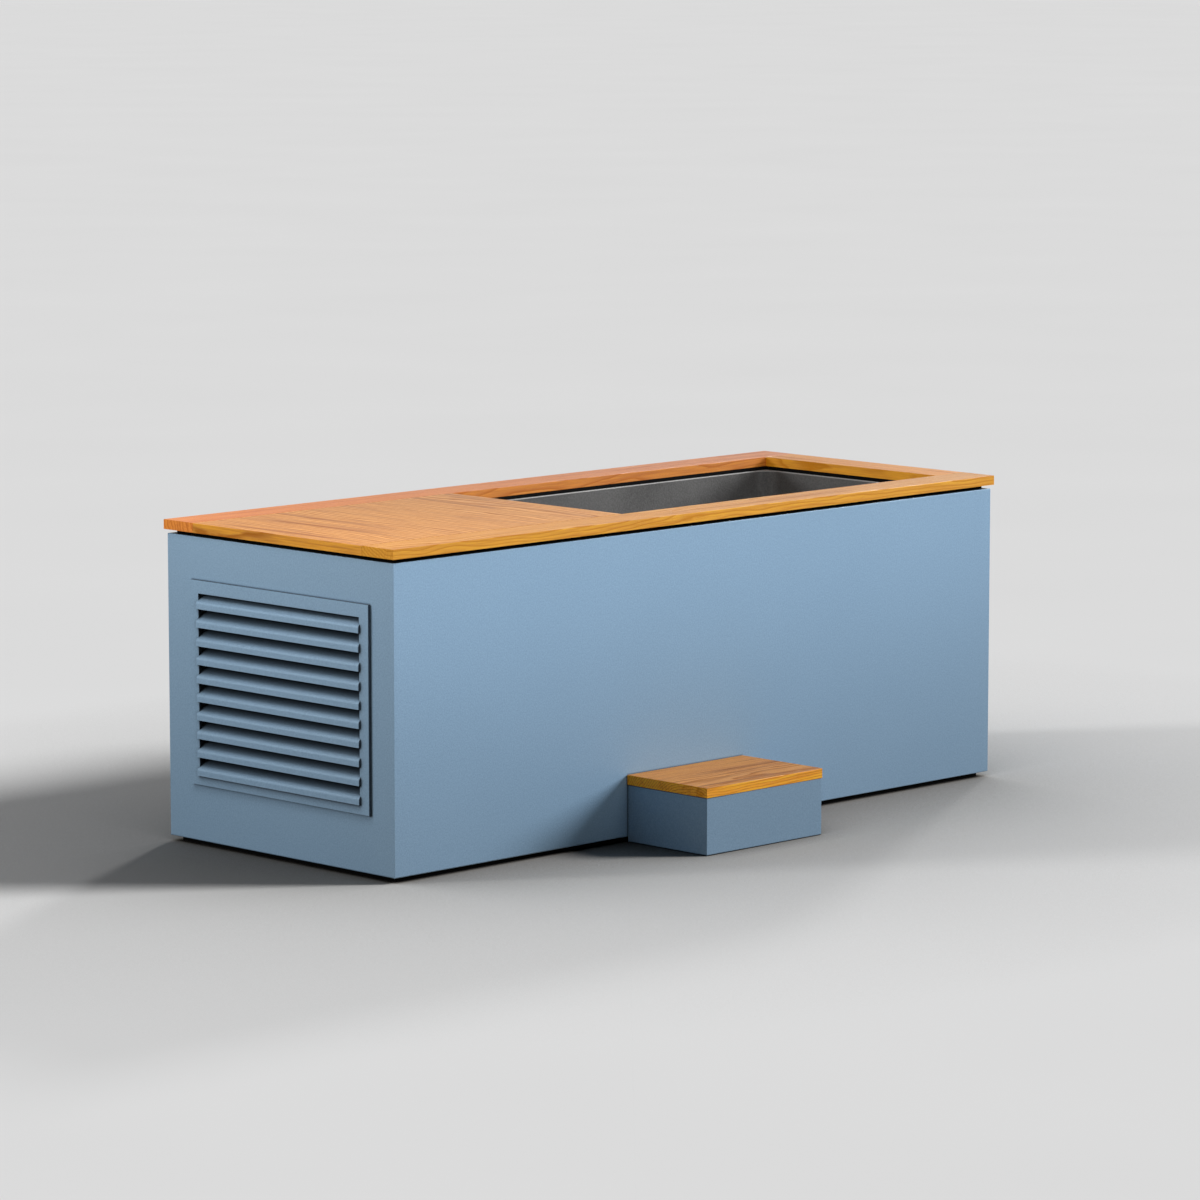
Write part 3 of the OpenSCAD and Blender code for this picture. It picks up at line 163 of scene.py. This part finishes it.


# %% [markdown]
# ## What the surface knows of its own place
#
# Shade gathers where a surface is hemmed in, and a face takes more or less light by the way it
# looks. Some finishes below paint that shade and light into their colour, and neither needs
# painting by hand. Ambient Occlusion measures how much of the space within a short reach is open,
# and the normal says which way a face looks.

# %% What the surface knows of its own place
class Surroundings(Patterns):
    """Measures of how a point of the surface lies."""

    def openness(self, reach, power):
        """1 on an open face, less in a corner or slot narrower than reach. A higher power darkens
        more steeply."""
        made = self.node("ShaderNodeAmbientOcclusion", samples=8)
        made.inputs["Distance"].default_value = reach
        return self.math("POWER", made.outputs["AO"], power)

    def upward(self):
        """The upward part of the normal: 1 on a top, 0 on an upright face, -1 underneath."""
        made = self.node("ShaderNodeSeparateXYZ")
        self.put(made.inputs[0], self.node("ShaderNodeTexCoord").outputs["Normal"])
        return made.outputs["Z"]


# %% [markdown]
# ## Paint
#
# Most real finishes are one Principled shader: a colour, a roughness and a little relief. The
# relief of a speckle or a pore is far too fine for the mesh, so it is a Bump node, which only
# tilts the light.

# %% Paint
class Paint(Surroundings):
    """One material: a Principled shader, and the steps that feed it."""

    def __init__(self, name, roughness=0.5, metallic=0.0, **extra):
        self.material = bpy.data.materials.new(name)
        self.material.use_nodes = True
        super().__init__(self.material.node_tree)
        self.shader = self.node("ShaderNodeBsdfPrincipled")
        self.put(self.node("ShaderNodeOutputMaterial").inputs["Surface"], self.shader.outputs[0])
        self.shader.inputs["Roughness"].default_value = roughness
        self.shader.inputs["Metallic"].default_value = metallic
        for socket, value in extra.items():
            self.shader.inputs[socket.replace("_", " ")].default_value = value
        self.at = self.node("ShaderNodeTexCoord").outputs["Object"]

    def colour(self, value):
        self.put(self.shader.inputs["Base Color"], value)

    def rough(self, value, low, high):
        """Spreads a pattern from 0 to 1 over this range of roughness."""
        made = self.node("ShaderNodeMapRange")
        self.put(made.inputs["Value"], value)
        made.inputs["To Min"].default_value = low
        made.inputs["To Max"].default_value = high
        self.put(self.shader.inputs["Roughness"], made.outputs[0])

    def bump(self, height, depth, strength):
        """A relief this deep, in metres, which tilts the light by this share."""
        made = self.node("ShaderNodeBump")
        made.inputs["Strength"].default_value = strength
        made.inputs["Distance"].default_value = depth
        self.put(made.inputs["Height"], height)
        self.put(self.shader.inputs["Normal"], made.outputs[0])


# %% [markdown]
# ## Laying a finish on its pieces
#
# A finish can be dropped on each piece in the editor. Here a piece of the CAD model may come with
# several material slots, so one short function fills them all and leaves no plain grey behind.

# %% Laying a finish on its pieces
def wear(paint, *names):
    """Gives the CAD nodes of these names this material in every slot."""
    for name in names:
        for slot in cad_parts[name].material_slots:
            slot.material = paint.material
    print(paint.material.name, "on", ", ".join(names))


# %% [markdown]
# ## World
#
# The background of the photograph is an even pale grey. A world that bright would also light the
# object from all sides and flatten it. A Light Path node tells the rays apart: the camera and
# mirror-like reflections see the pale grey, and all other rays get almost no light.

# %% World
backdrop_grey = linear("dcdcdc")
fill_strength = 0.02

world = bpy.data.worlds.new("studio")
scene.world = world
world.use_nodes = True
sky = Nodes(world.node_tree)
fill = sky.node("ShaderNodeBackground")
fill.inputs["Color"].default_value = backdrop_grey
fill.inputs["Strength"].default_value = fill_strength
backdrop = sky.node("ShaderNodeBackground")
backdrop.inputs["Color"].default_value = backdrop_grey
ray = sky.node("ShaderNodeLightPath")
seen = sky.math("MAXIMUM", ray.outputs["Is Camera Ray"], ray.outputs["Is Glossy Ray"])
answer = sky.node("ShaderNodeMixShader")
for socket, value in zip(answer.inputs, (seen, fill.outputs[0], backdrop.outputs[0])):
    sky.put(socket, value)
sky.put(sky.node("ShaderNodeOutputWorld").inputs[0], answer.outputs[0])
print("world:", len(sky.tree.nodes), "nodes")

# %% [markdown]
# ## Lamps
#
# Two kinds are needed. A Sun throws parallel light from far away, and its angle is how wide it
# looks in the sky, which sets how soft a shadow's edge is. An Area lamp is a soft box: near a
# panel it fades across it. A grid on its front, which is a spread below 180 degrees, keeps its
# light off what stands beside.

# %% Lamp helpers
sun_distance = 6


def lamp(name, kind, place, aim, strength, **settings):
    """A lamp at this place that shines towards aim."""
    made = bpy.data.objects.new(name, bpy.data.lights.new(name, kind))
    scene.collection.objects.link(made)
    made.location = place
    made.rotation_euler = (Vector(place) - Vector(aim)).to_track_quat("Z", "Y").to_euler()
    made.data.energy = strength
    for key, value in settings.items():
        setattr(made.data, key, value)
    print("lamp:", name)
    return made


def sun(name, azimuth, elevation, strength, angle):
    """A far lamp at this azimuth (from +X towards +Y) and elevation. Angles are in degrees."""
    turn, rise = math.radians(azimuth), math.radians(elevation)
    place = (sun_distance * math.cos(turn) * math.cos(rise),
             sun_distance * math.sin(turn) * math.cos(rise), sun_distance * math.sin(rise))
    return lamp(name, "SUN", place, (0, 0, 0), strength, angle=math.radians(angle))


def soft_box(name, place, aim, watts, wide, high, spread=180, colour=(1, 1, 1)):
    """A soft box of this width and height. The spread is in degrees."""
    return lamp(name, "AREA", place, aim, watts, shape="RECTANGLE", size=wide, size_y=high,
                spread=math.radians(spread), color=colour)


# %% [markdown]
# The shadows on the photograph's floor show three lights: a soft key from the right in front, a
# low one behind at the right and a low one behind at the left. Lamps that give these shadows
# make the panels too hard and uneven, so the floor gets a set of its own. A later cell keeps each
# set to its own side.

# %% Lamps for the floor
floor_lamps = [
    sun("key on the floor", azimuth=-40, elevation=29, strength=4.6, angle=14),
    sun("back right on the floor", azimuth=29.5, elevation=20, strength=1.2, angle=6),
    sun("back left on the floor", azimuth=147, elevation=16, strength=1.65, angle=10)]

# %% [markdown]
# The second set lights only the object, from the same three sides. Soft boxes near the front
# panel and the louvred end make both fade downwards, as they do in the photograph. The pair at
# the left is a little warm, because the louvred end looks less blue there than the front panel.

# %% Lamps for the object
warm = (1, 0.94, 0.88)
front_panel_middle = (0, -0.3, 0.6)
front_panel_top = (0, -0.29, 0.7)
louvred_end_middle = (-1.1, 0.1, 0.6)
louvred_end_top = (-1.1, 0.1, 0.7)

object_lamps = [
    sun("key", azimuth=-32, elevation=22, strength=3.3, angle=24),
    sun("back right", azimuth=29.5, elevation=20, strength=1.1, angle=6),
    sun("back left", azimuth=147, elevation=16, strength=0.85, angle=10),
    soft_box("front box with a grid", place=(0, -1.3, 1.3), aim=front_panel_top, watts=4.3,
             wide=3.4, high=0.5, spread=60),
    soft_box("front high box", place=(0, -1.0, 2.3), aim=front_panel_middle, watts=8,
             wide=3.4, high=0.6),
    soft_box("left high box", place=(-1.75, 0.1, 2.1), aim=louvred_end_top, watts=12,
             wide=0.9, high=0.5, colour=warm),
    soft_box("left wide box", place=(-2.4, 0.6, 1.6), aim=louvred_end_middle, watts=18.5,
             wide=2.0, high=1.6, colour=warm)]

# %% [markdown]
# ## Floor
#
# The studio floor runs on into the backdrop without a line. A curved sheet would do that, but a
# wide flat one is enough here, because its colour is close to the world's grey. It lies a hair
# below zero, so that it never shares a plane with a piece that stands on it.

# %% Floor sheet
floor_half_width = 60
floor_drop = 0.0005

sheet = bmesh.new()
bmesh.ops.create_grid(sheet, x_segments=1, y_segments=1, size=floor_half_width)
floor_mesh = bpy.data.meshes.new("floor")
sheet.to_mesh(floor_mesh)
sheet.free()
floor = bpy.data.objects.new("floor", floor_mesh)
scene.collection.objects.link(floor)
floor.location.z = -floor_drop
print("floor:", 2 * floor_half_width, "m square")

# %% [markdown]
# Round the object the photograph's floor darkens softly, also where no lamp casts a shadow.
# Ambient Occlusion with a long reach gives that shade. A floor as pale as it looks would send too
# much light back up onto the panels, so a Light Path node shows the pale floor to the camera
# alone, and all other rays meet a darker, browner one.

# %% Floor finish
shade_reach = 1.9
shade_power = 1.7
floor_seen_by_light = linear("74614b")

paint = Paint("floor", roughness=1.0, Specular_IOR_Level=0.0)
pale = paint.ramp(paint.noise(scale=0.7), (0.0, "d9d9d9"), (1.0, "dddddd"))
shade = paint.ramp(paint.openness(shade_reach, shade_power),
                   (0.0, "000000"), (0.25, "8d8984"), (0.6, "cccbc9"), (1.0, "ffffff"))
floor_seen = paint.mix(1.0, pale, shade, "MULTIPLY")
by_camera = paint.node("ShaderNodeLightPath").outputs["Is Camera Ray"]
paint.colour(paint.mix(by_camera, floor_seen_by_light, floor_seen))
floor_mesh.materials.append(paint.material)
print("floor finish:", len(paint.tree.nodes), "nodes")

# %% [markdown]
# ## Which lamp lights what
#
# Light linking gives a lamp a collection of receivers. A collection that includes the floor
# makes it light the floor alone. One that excludes the floor makes it light all the rest.

# %% Which lamp lights what
for name, lamps, state in (("floor", floor_lamps, "INCLUDE"),
                           ("all but the floor", object_lamps, "EXCLUDE")):
    lit = bpy.data.collections.new(name)
    lit.objects.link(floor)
    lit.collection_objects[0].light_linking.link_state = state
    for one in lamps:
        one.light_linking.receiver_collection = lit
    print(len(lamps), "lamps light", name)

# %% [markdown]
# ## Eased edges
#
# Boards are sanded and sheets are folded, so no real edge is a knife edge, and each catches a
# thin line of light. The edges could be rounded in the CAD model, but a Bevel modifier does it in
# one line for each piece. A CAD node's mesh is loose triangles, so a Weld joins them first, and
# the angle limit leaves the flat faces alone.

# %% Eased edges
weld_reach = 0.00002
sharp_degrees = 40
edge_segments = 2


def ease(width, *names):
    """Rounds the sharp edges of these CAD nodes by this width."""
    for name in names:
        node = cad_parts[name]
        node.modifiers.new("weld", "WELD").merge_threshold = weld_reach
        edge = node.modifiers.new("eased edge", "BEVEL")
        edge.limit_method = "ANGLE"
        edge.angle_limit = math.radians(sharp_degrees)
        edge.width = width
        edge.segments = edge_segments
    print("edges eased by", width, "on", ", ".join(names))


sanded = 0.0015
folded = 0.001

ease(sanded, "deck_rail_front", "deck_rail_back", "deck_rail_right", "hatch_panel", "step_top")
ease(folded, "front_panel", "back_panel", "left_end_panel", "right_end_panel", "step_panels")

# %% [markdown]
# ## Powder coat
#
# The panels are sprayed with a dry powder that melts into a satin skin with a fine speckle. One
# very fine noise makes it all: it mixes a darker and a lighter blue, and drives gloss and relief,
# so that the three agree at every point. A broad, weak noise keeps a large panel from looking
# flat. Shade is painted into the coat in narrow corners, and on the panels the folds that face up
# under the deck are painted black, as the shadow of the gap there.

# %% Powder coat
speckle_share = 0.42
fold_shadow_facing_up = 0.9


def powder_coat(name, painted_shade_reach, painted_shade_power, paint_fold_shadow):
    """Paints shade into the coat in corners and slots narrower than the reach, and, if asked,
    black shadow on the faces that look up.
    """
    paint = Paint(name, Specular_IOR_Level=0.3)
    speckle = paint.noise(scale=260, detail=4, roughness=0.7)
    broad = paint.ramp(paint.noise(scale=2.2), (0.3, "7a9ab7"), (0.7, "7d9dba"))
    speckled = paint.ramp(speckle, (0.3, "6484a2"), (0.7, "94b5d1"))
    coat = paint.mix(speckle_share, broad, speckled)
    # Painted shade: the coat darkens where the surface is hemmed in.
    coat = paint.mix(1.0, coat, paint.openness(painted_shade_reach, painted_shade_power), "MULTIPLY")
    # Painted shadow: faces that look up, the folds under the deck, are painted black.
    if paint_fold_shadow:
        painted_fold_shadow = paint.math("GREATER_THAN", paint.upward(), fold_shadow_facing_up)
        coat = paint.mix(painted_fold_shadow, coat, linear("060606"))
    paint.colour(coat)
    paint.rough(speckle, low=0.42, high=0.6)
    paint.bump(speckle, depth=0.0006, strength=0.7)
    return paint


# %% [markdown]
# On the panels the painted shade covers only the tightest corners. The louvre's slots run deep
# between the blades, so on its coat the painted shade reaches further and darkens more steeply.

# %% Powder coat on panels and louvre
panel_coat = powder_coat("panel coat", painted_shade_reach=0.005, painted_shade_power=1.6, paint_fold_shadow=True)
louvre_coat = powder_coat("louvre coat", painted_shade_reach=0.06, painted_shade_power=3.2, paint_fold_shadow=False)

wear(panel_coat, "front_panel", "back_panel", "left_end_panel", "right_end_panel", "step_panels")
wear(louvre_coat, "louvre_rails", "louvre_jambs", "louvre_blades")

# %% [markdown]
# ## Timber, first step: the log
#
# A board is a slice of a log. Its rings are cylinders round the pith, so a board's faces show
# long lines and arches and its ends show arcs. A flat picture of grain can't agree on all six
# faces. So each board gets the coordinates of its own log: x along the grain, and the pith on the
# x axis. No tree is straight, so the axis is tilted a little against the board.

# %% The log
pith_tilt_across = 0.02
pith_tilt_up = 0.012


def in_the_log(paint, pith, along, seed):
    """Coordinates with x along the grain and the pith on the x axis. pith is where the log's axis
    lies, across the grain and up. The seed slides the board along its log."""
    turn = 0.0 if along == "X" else -math.pi / 2
    board = paint.moved(rotation=(0, 0, turn))
    return paint.moved(location=(seed, -pith[0], -pith[1]),
                       rotation=(0, pith_tilt_up, pith_tilt_across), at=board)


# %% [markdown]
# ## Timber, second step: rings
#
# Rings are the clearest mark of wood. Blender's Wave texture has rings, but they are evenly
# shaded. Here the distance from the pith, divided by a ring's width, counts the rings, and its
# fraction is the place within one ring. Each is pale where it grew in spring and darkens to a
# hard late edge, which the ramp copies. Two noises that are drawn out along the grain make the
# rings wander: a slow one for the log, a quick one for the small waves.

# %% Noise along the grain
def drawn_out(paint, log, along, across, **settings):
    """Noise with this many waves a metre along and across the grain."""
    return paint.noise(scale=1.0, at=paint.moved(scale=(along, across, across), at=log), **settings)


# %% Rings
wave_height = 0.012


def late_wood(paint, log, ring, drift):
    """1 on the dark late edge of a ring, 0 where the next begins. drift is how far the rings
    stray from round."""
    sway = drawn_out(paint, log, along=1.8, across=7)
    wave = drawn_out(paint, log, along=7, across=30, detail=3)
    flattened = paint.node("ShaderNodeVectorMath", operation="MULTIPLY")
    paint.put(flattened.inputs[0], log)
    flattened.inputs[1].default_value = (0, 1, 1)
    from_pith = paint.node("ShaderNodeVectorMath", operation="LENGTH")
    paint.put(from_pith.inputs[0], flattened.outputs[0])
    radius = paint.math("ADD", from_pith.outputs["Value"], paint.math("MULTIPLY", sway, drift))
    radius = paint.math("ADD", radius, paint.math("MULTIPLY", wave, wave_height))
    place_in_ring = paint.math("FRACT", paint.math("DIVIDE", radius, ring))
    return paint.ramp(place_in_ring, (0.0, 0.0), (0.5, 0.22), (0.88, 1.0), (1.0, 0.0))


# %% [markdown]
# ## Timber, third step: streaks, fibres and pores
#
# Broad darker streaks run along a board, its fibres are hair-fine lines, and its pores are short
# dark dashes. All three are the same kind of noise, drawn out along the grain and finer each
# time. A ramp with a narrow step turns streaks and pores into separate marks instead of a haze.

# %% Streaks, fibres and pores
def streaks_in(paint, log):
    broad = drawn_out(paint, log, along=1.4, across=24, detail=4, roughness=0.55, distortion=0.8)
    return paint.ramp(broad, (0.53, 0.0), (0.68, 1.0))


def fibres_in(paint, log):
    return drawn_out(paint, log, along=6, across=200, detail=3, roughness=0.6)


def pores_in(paint, log):
    fine = drawn_out(paint, log, along=60, across=900, roughness=0.6)
    return paint.ramp(fine, (0.58, 0.0), (0.7, 1.0))


# %% [markdown]
# ## Timber, last step: the oiled board
#
# The patterns are laid over each other: rings first, then streaks, fibres and pores. The lift
# paints light on the upright faces: they are made lighter and more yellow than the tops. Late
# wood, streaks and upright faces shine less than the rest, which the specular level gives. An
# even specular level is set on the socket as well, under the varying one.

# %% The oiled board
late_share = 0.85
streak_share = 0.8
streak_lost_upright = 0.4
pore_share = 0.25
painted_upright_yellow = 1.09
even_specular = 0.42
highest_specular = 0.58
specular_lost = 0.45
upright_dullness = 0.6
late_relief = 0.35


def timber(name, light, dark, streak, pith, along, ring, seed, rough, lift=0.0, drift=0.09):
    """An oiled board with its grain along X or Y. light, dark and streak are its colours, ring is
    a ring's width, and lift is a painted light: how much lighter its upright faces are than its top."""
    paint = Paint(name, Specular_IOR_Level=even_specular)
    log = in_the_log(paint, pith, along, seed)
    late = late_wood(paint, log, ring, drift)
    streaks = streaks_in(paint, log)
    fibres = fibres_in(paint, log)
    pores = pores_in(paint, log)
    upright = paint.math("SUBTRACT", 1.0, paint.math("ABSOLUTE", paint.upward()))

    wood = paint.mix(paint.math("MULTIPLY", late, late_share), linear(light), linear(dark))
    share = paint.math("SUBTRACT", streak_share, paint.math("MULTIPLY", upright, streak_lost_upright))
    wood = paint.mix(paint.math("MULTIPLY", streaks, share), wood, linear(streak))
    wood = paint.mix(paint.ramp(fibres, (0.42, 0.0), (0.68, 0.6)), wood, linear(dark))
    wood = paint.mix(paint.math("MULTIPLY", pores, pore_share), wood, linear(streak))
    # Painted light: upright faces are made lighter and more yellow than the tops.
    lifted = paint.mix(1.0, wood, (1 + lift, painted_upright_yellow * (1 + lift), 1, 1), "MULTIPLY")
    paint.colour(paint.mix(upright, wood, lifted))

    sheen = paint.math("ADD", paint.math("MULTIPLY", late, 0.5), paint.math("MULTIPLY", fibres, 0.5))
    paint.rough(sheen, *rough)
    dull = paint.math("MAXIMUM", paint.math("MAXIMUM", late, streaks),
                      paint.math("MULTIPLY", upright, upright_dullness))
    paint.put(paint.shader.inputs["Specular IOR Level"],
              paint.math("SUBTRACT", highest_specular, paint.math("MULTIPLY", dull, specular_lost)))
    relief = paint.math("SUBTRACT", paint.math("MULTIPLY", late, late_relief), pores)
    paint.bump(relief, depth=0.0004, strength=0.5)
    return paint


# %% [markdown]
# ## The deck and the step
#
# No two boards come from the same log: in the photograph the back rail is redder, the hatch has a
# broader grain, which runs across the cabinet, and the step is browner. One material for all
# would look printed, so each board has its own colours, pith, ring width and seed.

# %% The hatch
wear(timber("hatch timber", "d5912b", "914f0f", "864810", pith=(0.1, 0.62), along="Y",
            ring=0.016, seed=0.36, rough=(0.3, 0.7)),
     "hatch_panel", "hatch_battens")

# %% The rails
wear(timber("front rail timber", "c38823", "a36214", "91500d", pith=(-0.38, 0.93), along="X",
            ring=0.010, seed=1.1, rough=(0.46, 0.74), lift=0.2),
     "deck_rail_front")
wear(timber("back rail timber", "d28031", "b05d21", "9b4a16", pith=(0.24, 0.95), along="X",
            ring=0.011, seed=2.7, rough=(0.42, 0.66), lift=0.08),
     "deck_rail_back")
wear(timber("right rail timber", "d58e22", "b36a15", "9e560d", pith=(0.9, 0.66), along="Y",
            ring=0.011, seed=4.2, rough=(0.46, 0.72), lift=0.4),
     "deck_rail_right")

# %% The top of the step
wear(timber("step timber", "e49b31", "a45b13", "88450b", pith=(-0.52, 0.02), along="X",
            ring=0.0065, seed=5.9, rough=(0.36, 0.6), lift=0.6, drift=0.03),
     "step_top", "step_battens")

# %% [markdown]
# ## Plain finishes
#
# Moulded, painted, plated and rolled surfaces differ in colour, gloss and grain, but not in kind.
# One helper makes them all: two close tones, and a grain that drives gloss and relief together.
# It could be a table of numbers, but a call for each finish says which number is which.

# %% Plain finishes
grain_share = 0.6
cloud_share = 0.4


def plain(name, low, high, grain, depth, rough, metallic=0.0, stretch=(1, 1, 1), **extra):
    """Tones between low and high, with a grain of this scale and a relief of this depth."""
    paint = Paint(name, metallic=metallic, **extra)
    grains = paint.noise(scale=grain, detail=3, roughness=0.6, at=paint.moved(scale=stretch))
    clouds = paint.noise(scale=6)
    tone = paint.math("ADD", paint.math("MULTIPLY", grains, grain_share),
                      paint.math("MULTIPLY", clouds, cloud_share))
    paint.colour(paint.ramp(tone, (0.3, low), (0.7, high)))
    paint.rough(grains, *rough)
    paint.bump(grains, depth, strength=0.6)
    return paint


# %% [markdown]
# ## The tub
#
# The shell is moulded in dark grey plastic with a light texture, which softens its reflections.
# Its flat rim under the deck is smoother, and its paler grey is a painted highlight, which
# draws a thin light line round the opening. The foam round the shell is hidden, pale and without
# any shine.

# %% The tub
wear(plain("tub skin", "3c3c3c", "626262", grain=220, depth=0.0008, rough=(0.36, 0.52)), "tub_shell")
# Painted highlight: the rim is painted a paler grey than the shell.
wear(plain("tub rim", "7c7c7c", "9c9c9c", grain=380, depth=0.0004, rough=(0.3, 0.42)), "tub_rim")
wear(plain("foam", "cfc9b4", "dfdac8", grain=700, depth=0.001, rough=(0.85, 0.95)),
     "tub_foam_walls", "tub_foam_floor")

# %% [markdown]
# ## The black bands
#
# Plinth and spacers are set back, so that the cabinet and the deck seem to float. They are there
# to vanish. Black alone isn't enough, because even a dull shine would show as a grey line, so
# they are nearly black, rough, and have hardly any specular light.

# %% The black bands
wear(plain("black band", "020202", "060606", grain=300, depth=0.0002, rough=(0.8, 0.95),
           Specular_IOR_Level=0.08),
     "plinth_sides", "plinth_ends", "plinth_bearers", "spacer_rails", "spacer_cross")

# %% [markdown]
# ## Chassis, floor board and sheet
#
# All this is hidden at rest, and some of it is seen when the hatch is lifted. The tube has a
# plain grey paint. The board has a brown film, with grain along the board. The zinc on sheet and
# bolts is bare metal, so its colour is that of its reflections: a metallic value of 1.

# %% Chassis, floor board and sheet
bare_metal = 1.0

wear(plain("chassis paint", "34383a", "42474a", grain=260, depth=0.0002, rough=(0.45, 0.6)),
     "chassis_lower_rails", "chassis_lower_cross", "chassis_posts", "chassis_upper_rails",
     "chassis_upper_cross")
wear(plain("film-faced board", "3a2a20", "4b382a", grain=90, depth=0.0002, rough=(0.4, 0.6),
           stretch=(0.2, 1, 1)),
     "floor_board")
wear(plain("galvanised sheet", "a4a8aa", "bfc3c4", grain=40, depth=0.0001, rough=(0.35, 0.5),
           metallic=bare_metal),
     "bulkhead", "chiller_tray")
wear(plain("zinc plate", "b0b2ac", "c6c7c0", grain=500, depth=0.0001, rough=(0.3, 0.45),
           metallic=bare_metal),
     "deck_bolts", "hatch_screws")

# %% [markdown]
# ## Fittings and pipes
#
# The plumbing is stainless steel, brass and white plastic, each a plain finish of its own. The
# lever of the drain valve is dipped in red, so that it is found among the pipes.

# %% Fittings and pipes
wear(plain("satin steel", "b2b5b6", "c8cacb", grain=600, depth=0.0001, rough=(0.25, 0.4),
           metallic=bare_metal),
     "suction_fitting", "return_fitting", "drain_fitting", "fitting_nuts", "drain_outlet",
     "heat_exchanger")
wear(plain("pressure pipe", "d5d7d6", "e4e6e5", grain=200, depth=0.0001, rough=(0.35, 0.45)),
     "suction_pipe", "pump_pipe", "filter_pipe", "return_pipe", "drain_pipe", "drain_tail")
wear(plain("valve brass", "a58a48", "bfa664", grain=500, depth=0.0002, rough=(0.3, 0.45),
           metallic=bare_metal),
     "drain_valve_body")
wear(plain("red dip", "a82a20", "c2392c", grain=200, depth=0.0001, rough=(0.3, 0.4)),
     "drain_valve_lever")

# %% [markdown]
# ## Pump and filter
#
# The pump is a painted casting, with the deepest relief of the machines. The filter is smooth
# pale plastic with a dark cap, and its cartridge is fleece, which has hardly any gloss.

# %% Pump and filter
wear(plain("pump casting", "23282c", "31373b", grain=500, depth=0.0005, rough=(0.5, 0.65)), "pump")
wear(plain("filter case", "cfd3d3", "dfe2e2", grain=60, depth=0.0001, rough=(0.25, 0.35)),
     "filter_housing")
wear(plain("filter cap", "1c1e20", "2a2c2e", grain=400, depth=0.0002, rough=(0.4, 0.55)), "filter_lid")
wear(plain("filter fleece", "e2e4dc", "f2f3ee", grain=900, depth=0.0004, rough=(0.85, 0.95)),
     "filter_cartridge")

# %% [markdown]
# ## Chiller
#
# The cooling machine sits behind the louvre: a black compressor, a condenser, a black shroud with
# its fan, and copper lines between them. The condenser's fins are solids of the CAD model. Rolled
# fin sheet has fine lines besides, so its grain is drawn out upright by a stretch along Z.

# %% Compressor, condenser and lines
wear(plain("compressor paint", "0b0b0c", "161618", grain=300, depth=0.0001, rough=(0.25, 0.4)),
     "compressor")
wear(plain("coil fins", "a9adb0", "c6cacc", grain=120, depth=0.0002, rough=(0.35, 0.5),
           metallic=bare_metal, stretch=(1, 1, 0.1)),
     "condenser")
wear(plain("copper", "b06a3c", "c98050", grain=200, depth=0.0001, rough=(0.25, 0.4),
           metallic=bare_metal),
     "refrigerant_pipes")

# %% Fan, shroud and motor
wear(plain("shroud paint", "0f1011", "1a1b1c", grain=300, depth=0.0002, rough=(0.45, 0.6)),
     "fan_shroud")
wear(plain("motor enamel", "33373a", "42474a", grain=300, depth=0.0002, rough=(0.4, 0.55)), "fan_motor")
wear(plain("fan moulding", "141517", "202224", grain=400, depth=0.0002, rough=(0.4, 0.55)), "fan")

# %% [markdown]
# ## Control box and gland
#
# A light grey enamelled box on the bulkhead holds the switching, and the supply comes in through
# a black moulded gland in the back panel. Enamel and moulding differ here only in colour, gloss
# and grain, so the plain helper serves for both.

# %% Control box and gland
wear(plain("box enamel", "bcbfc0", "cbcecf", grain=300, depth=0.0001, rough=(0.4, 0.5)), "control_box")
wear(plain("gland moulding", "0d0d0d", "181818", grain=400, depth=0.0001, rough=(0.45, 0.6)),
     "cable_gland")
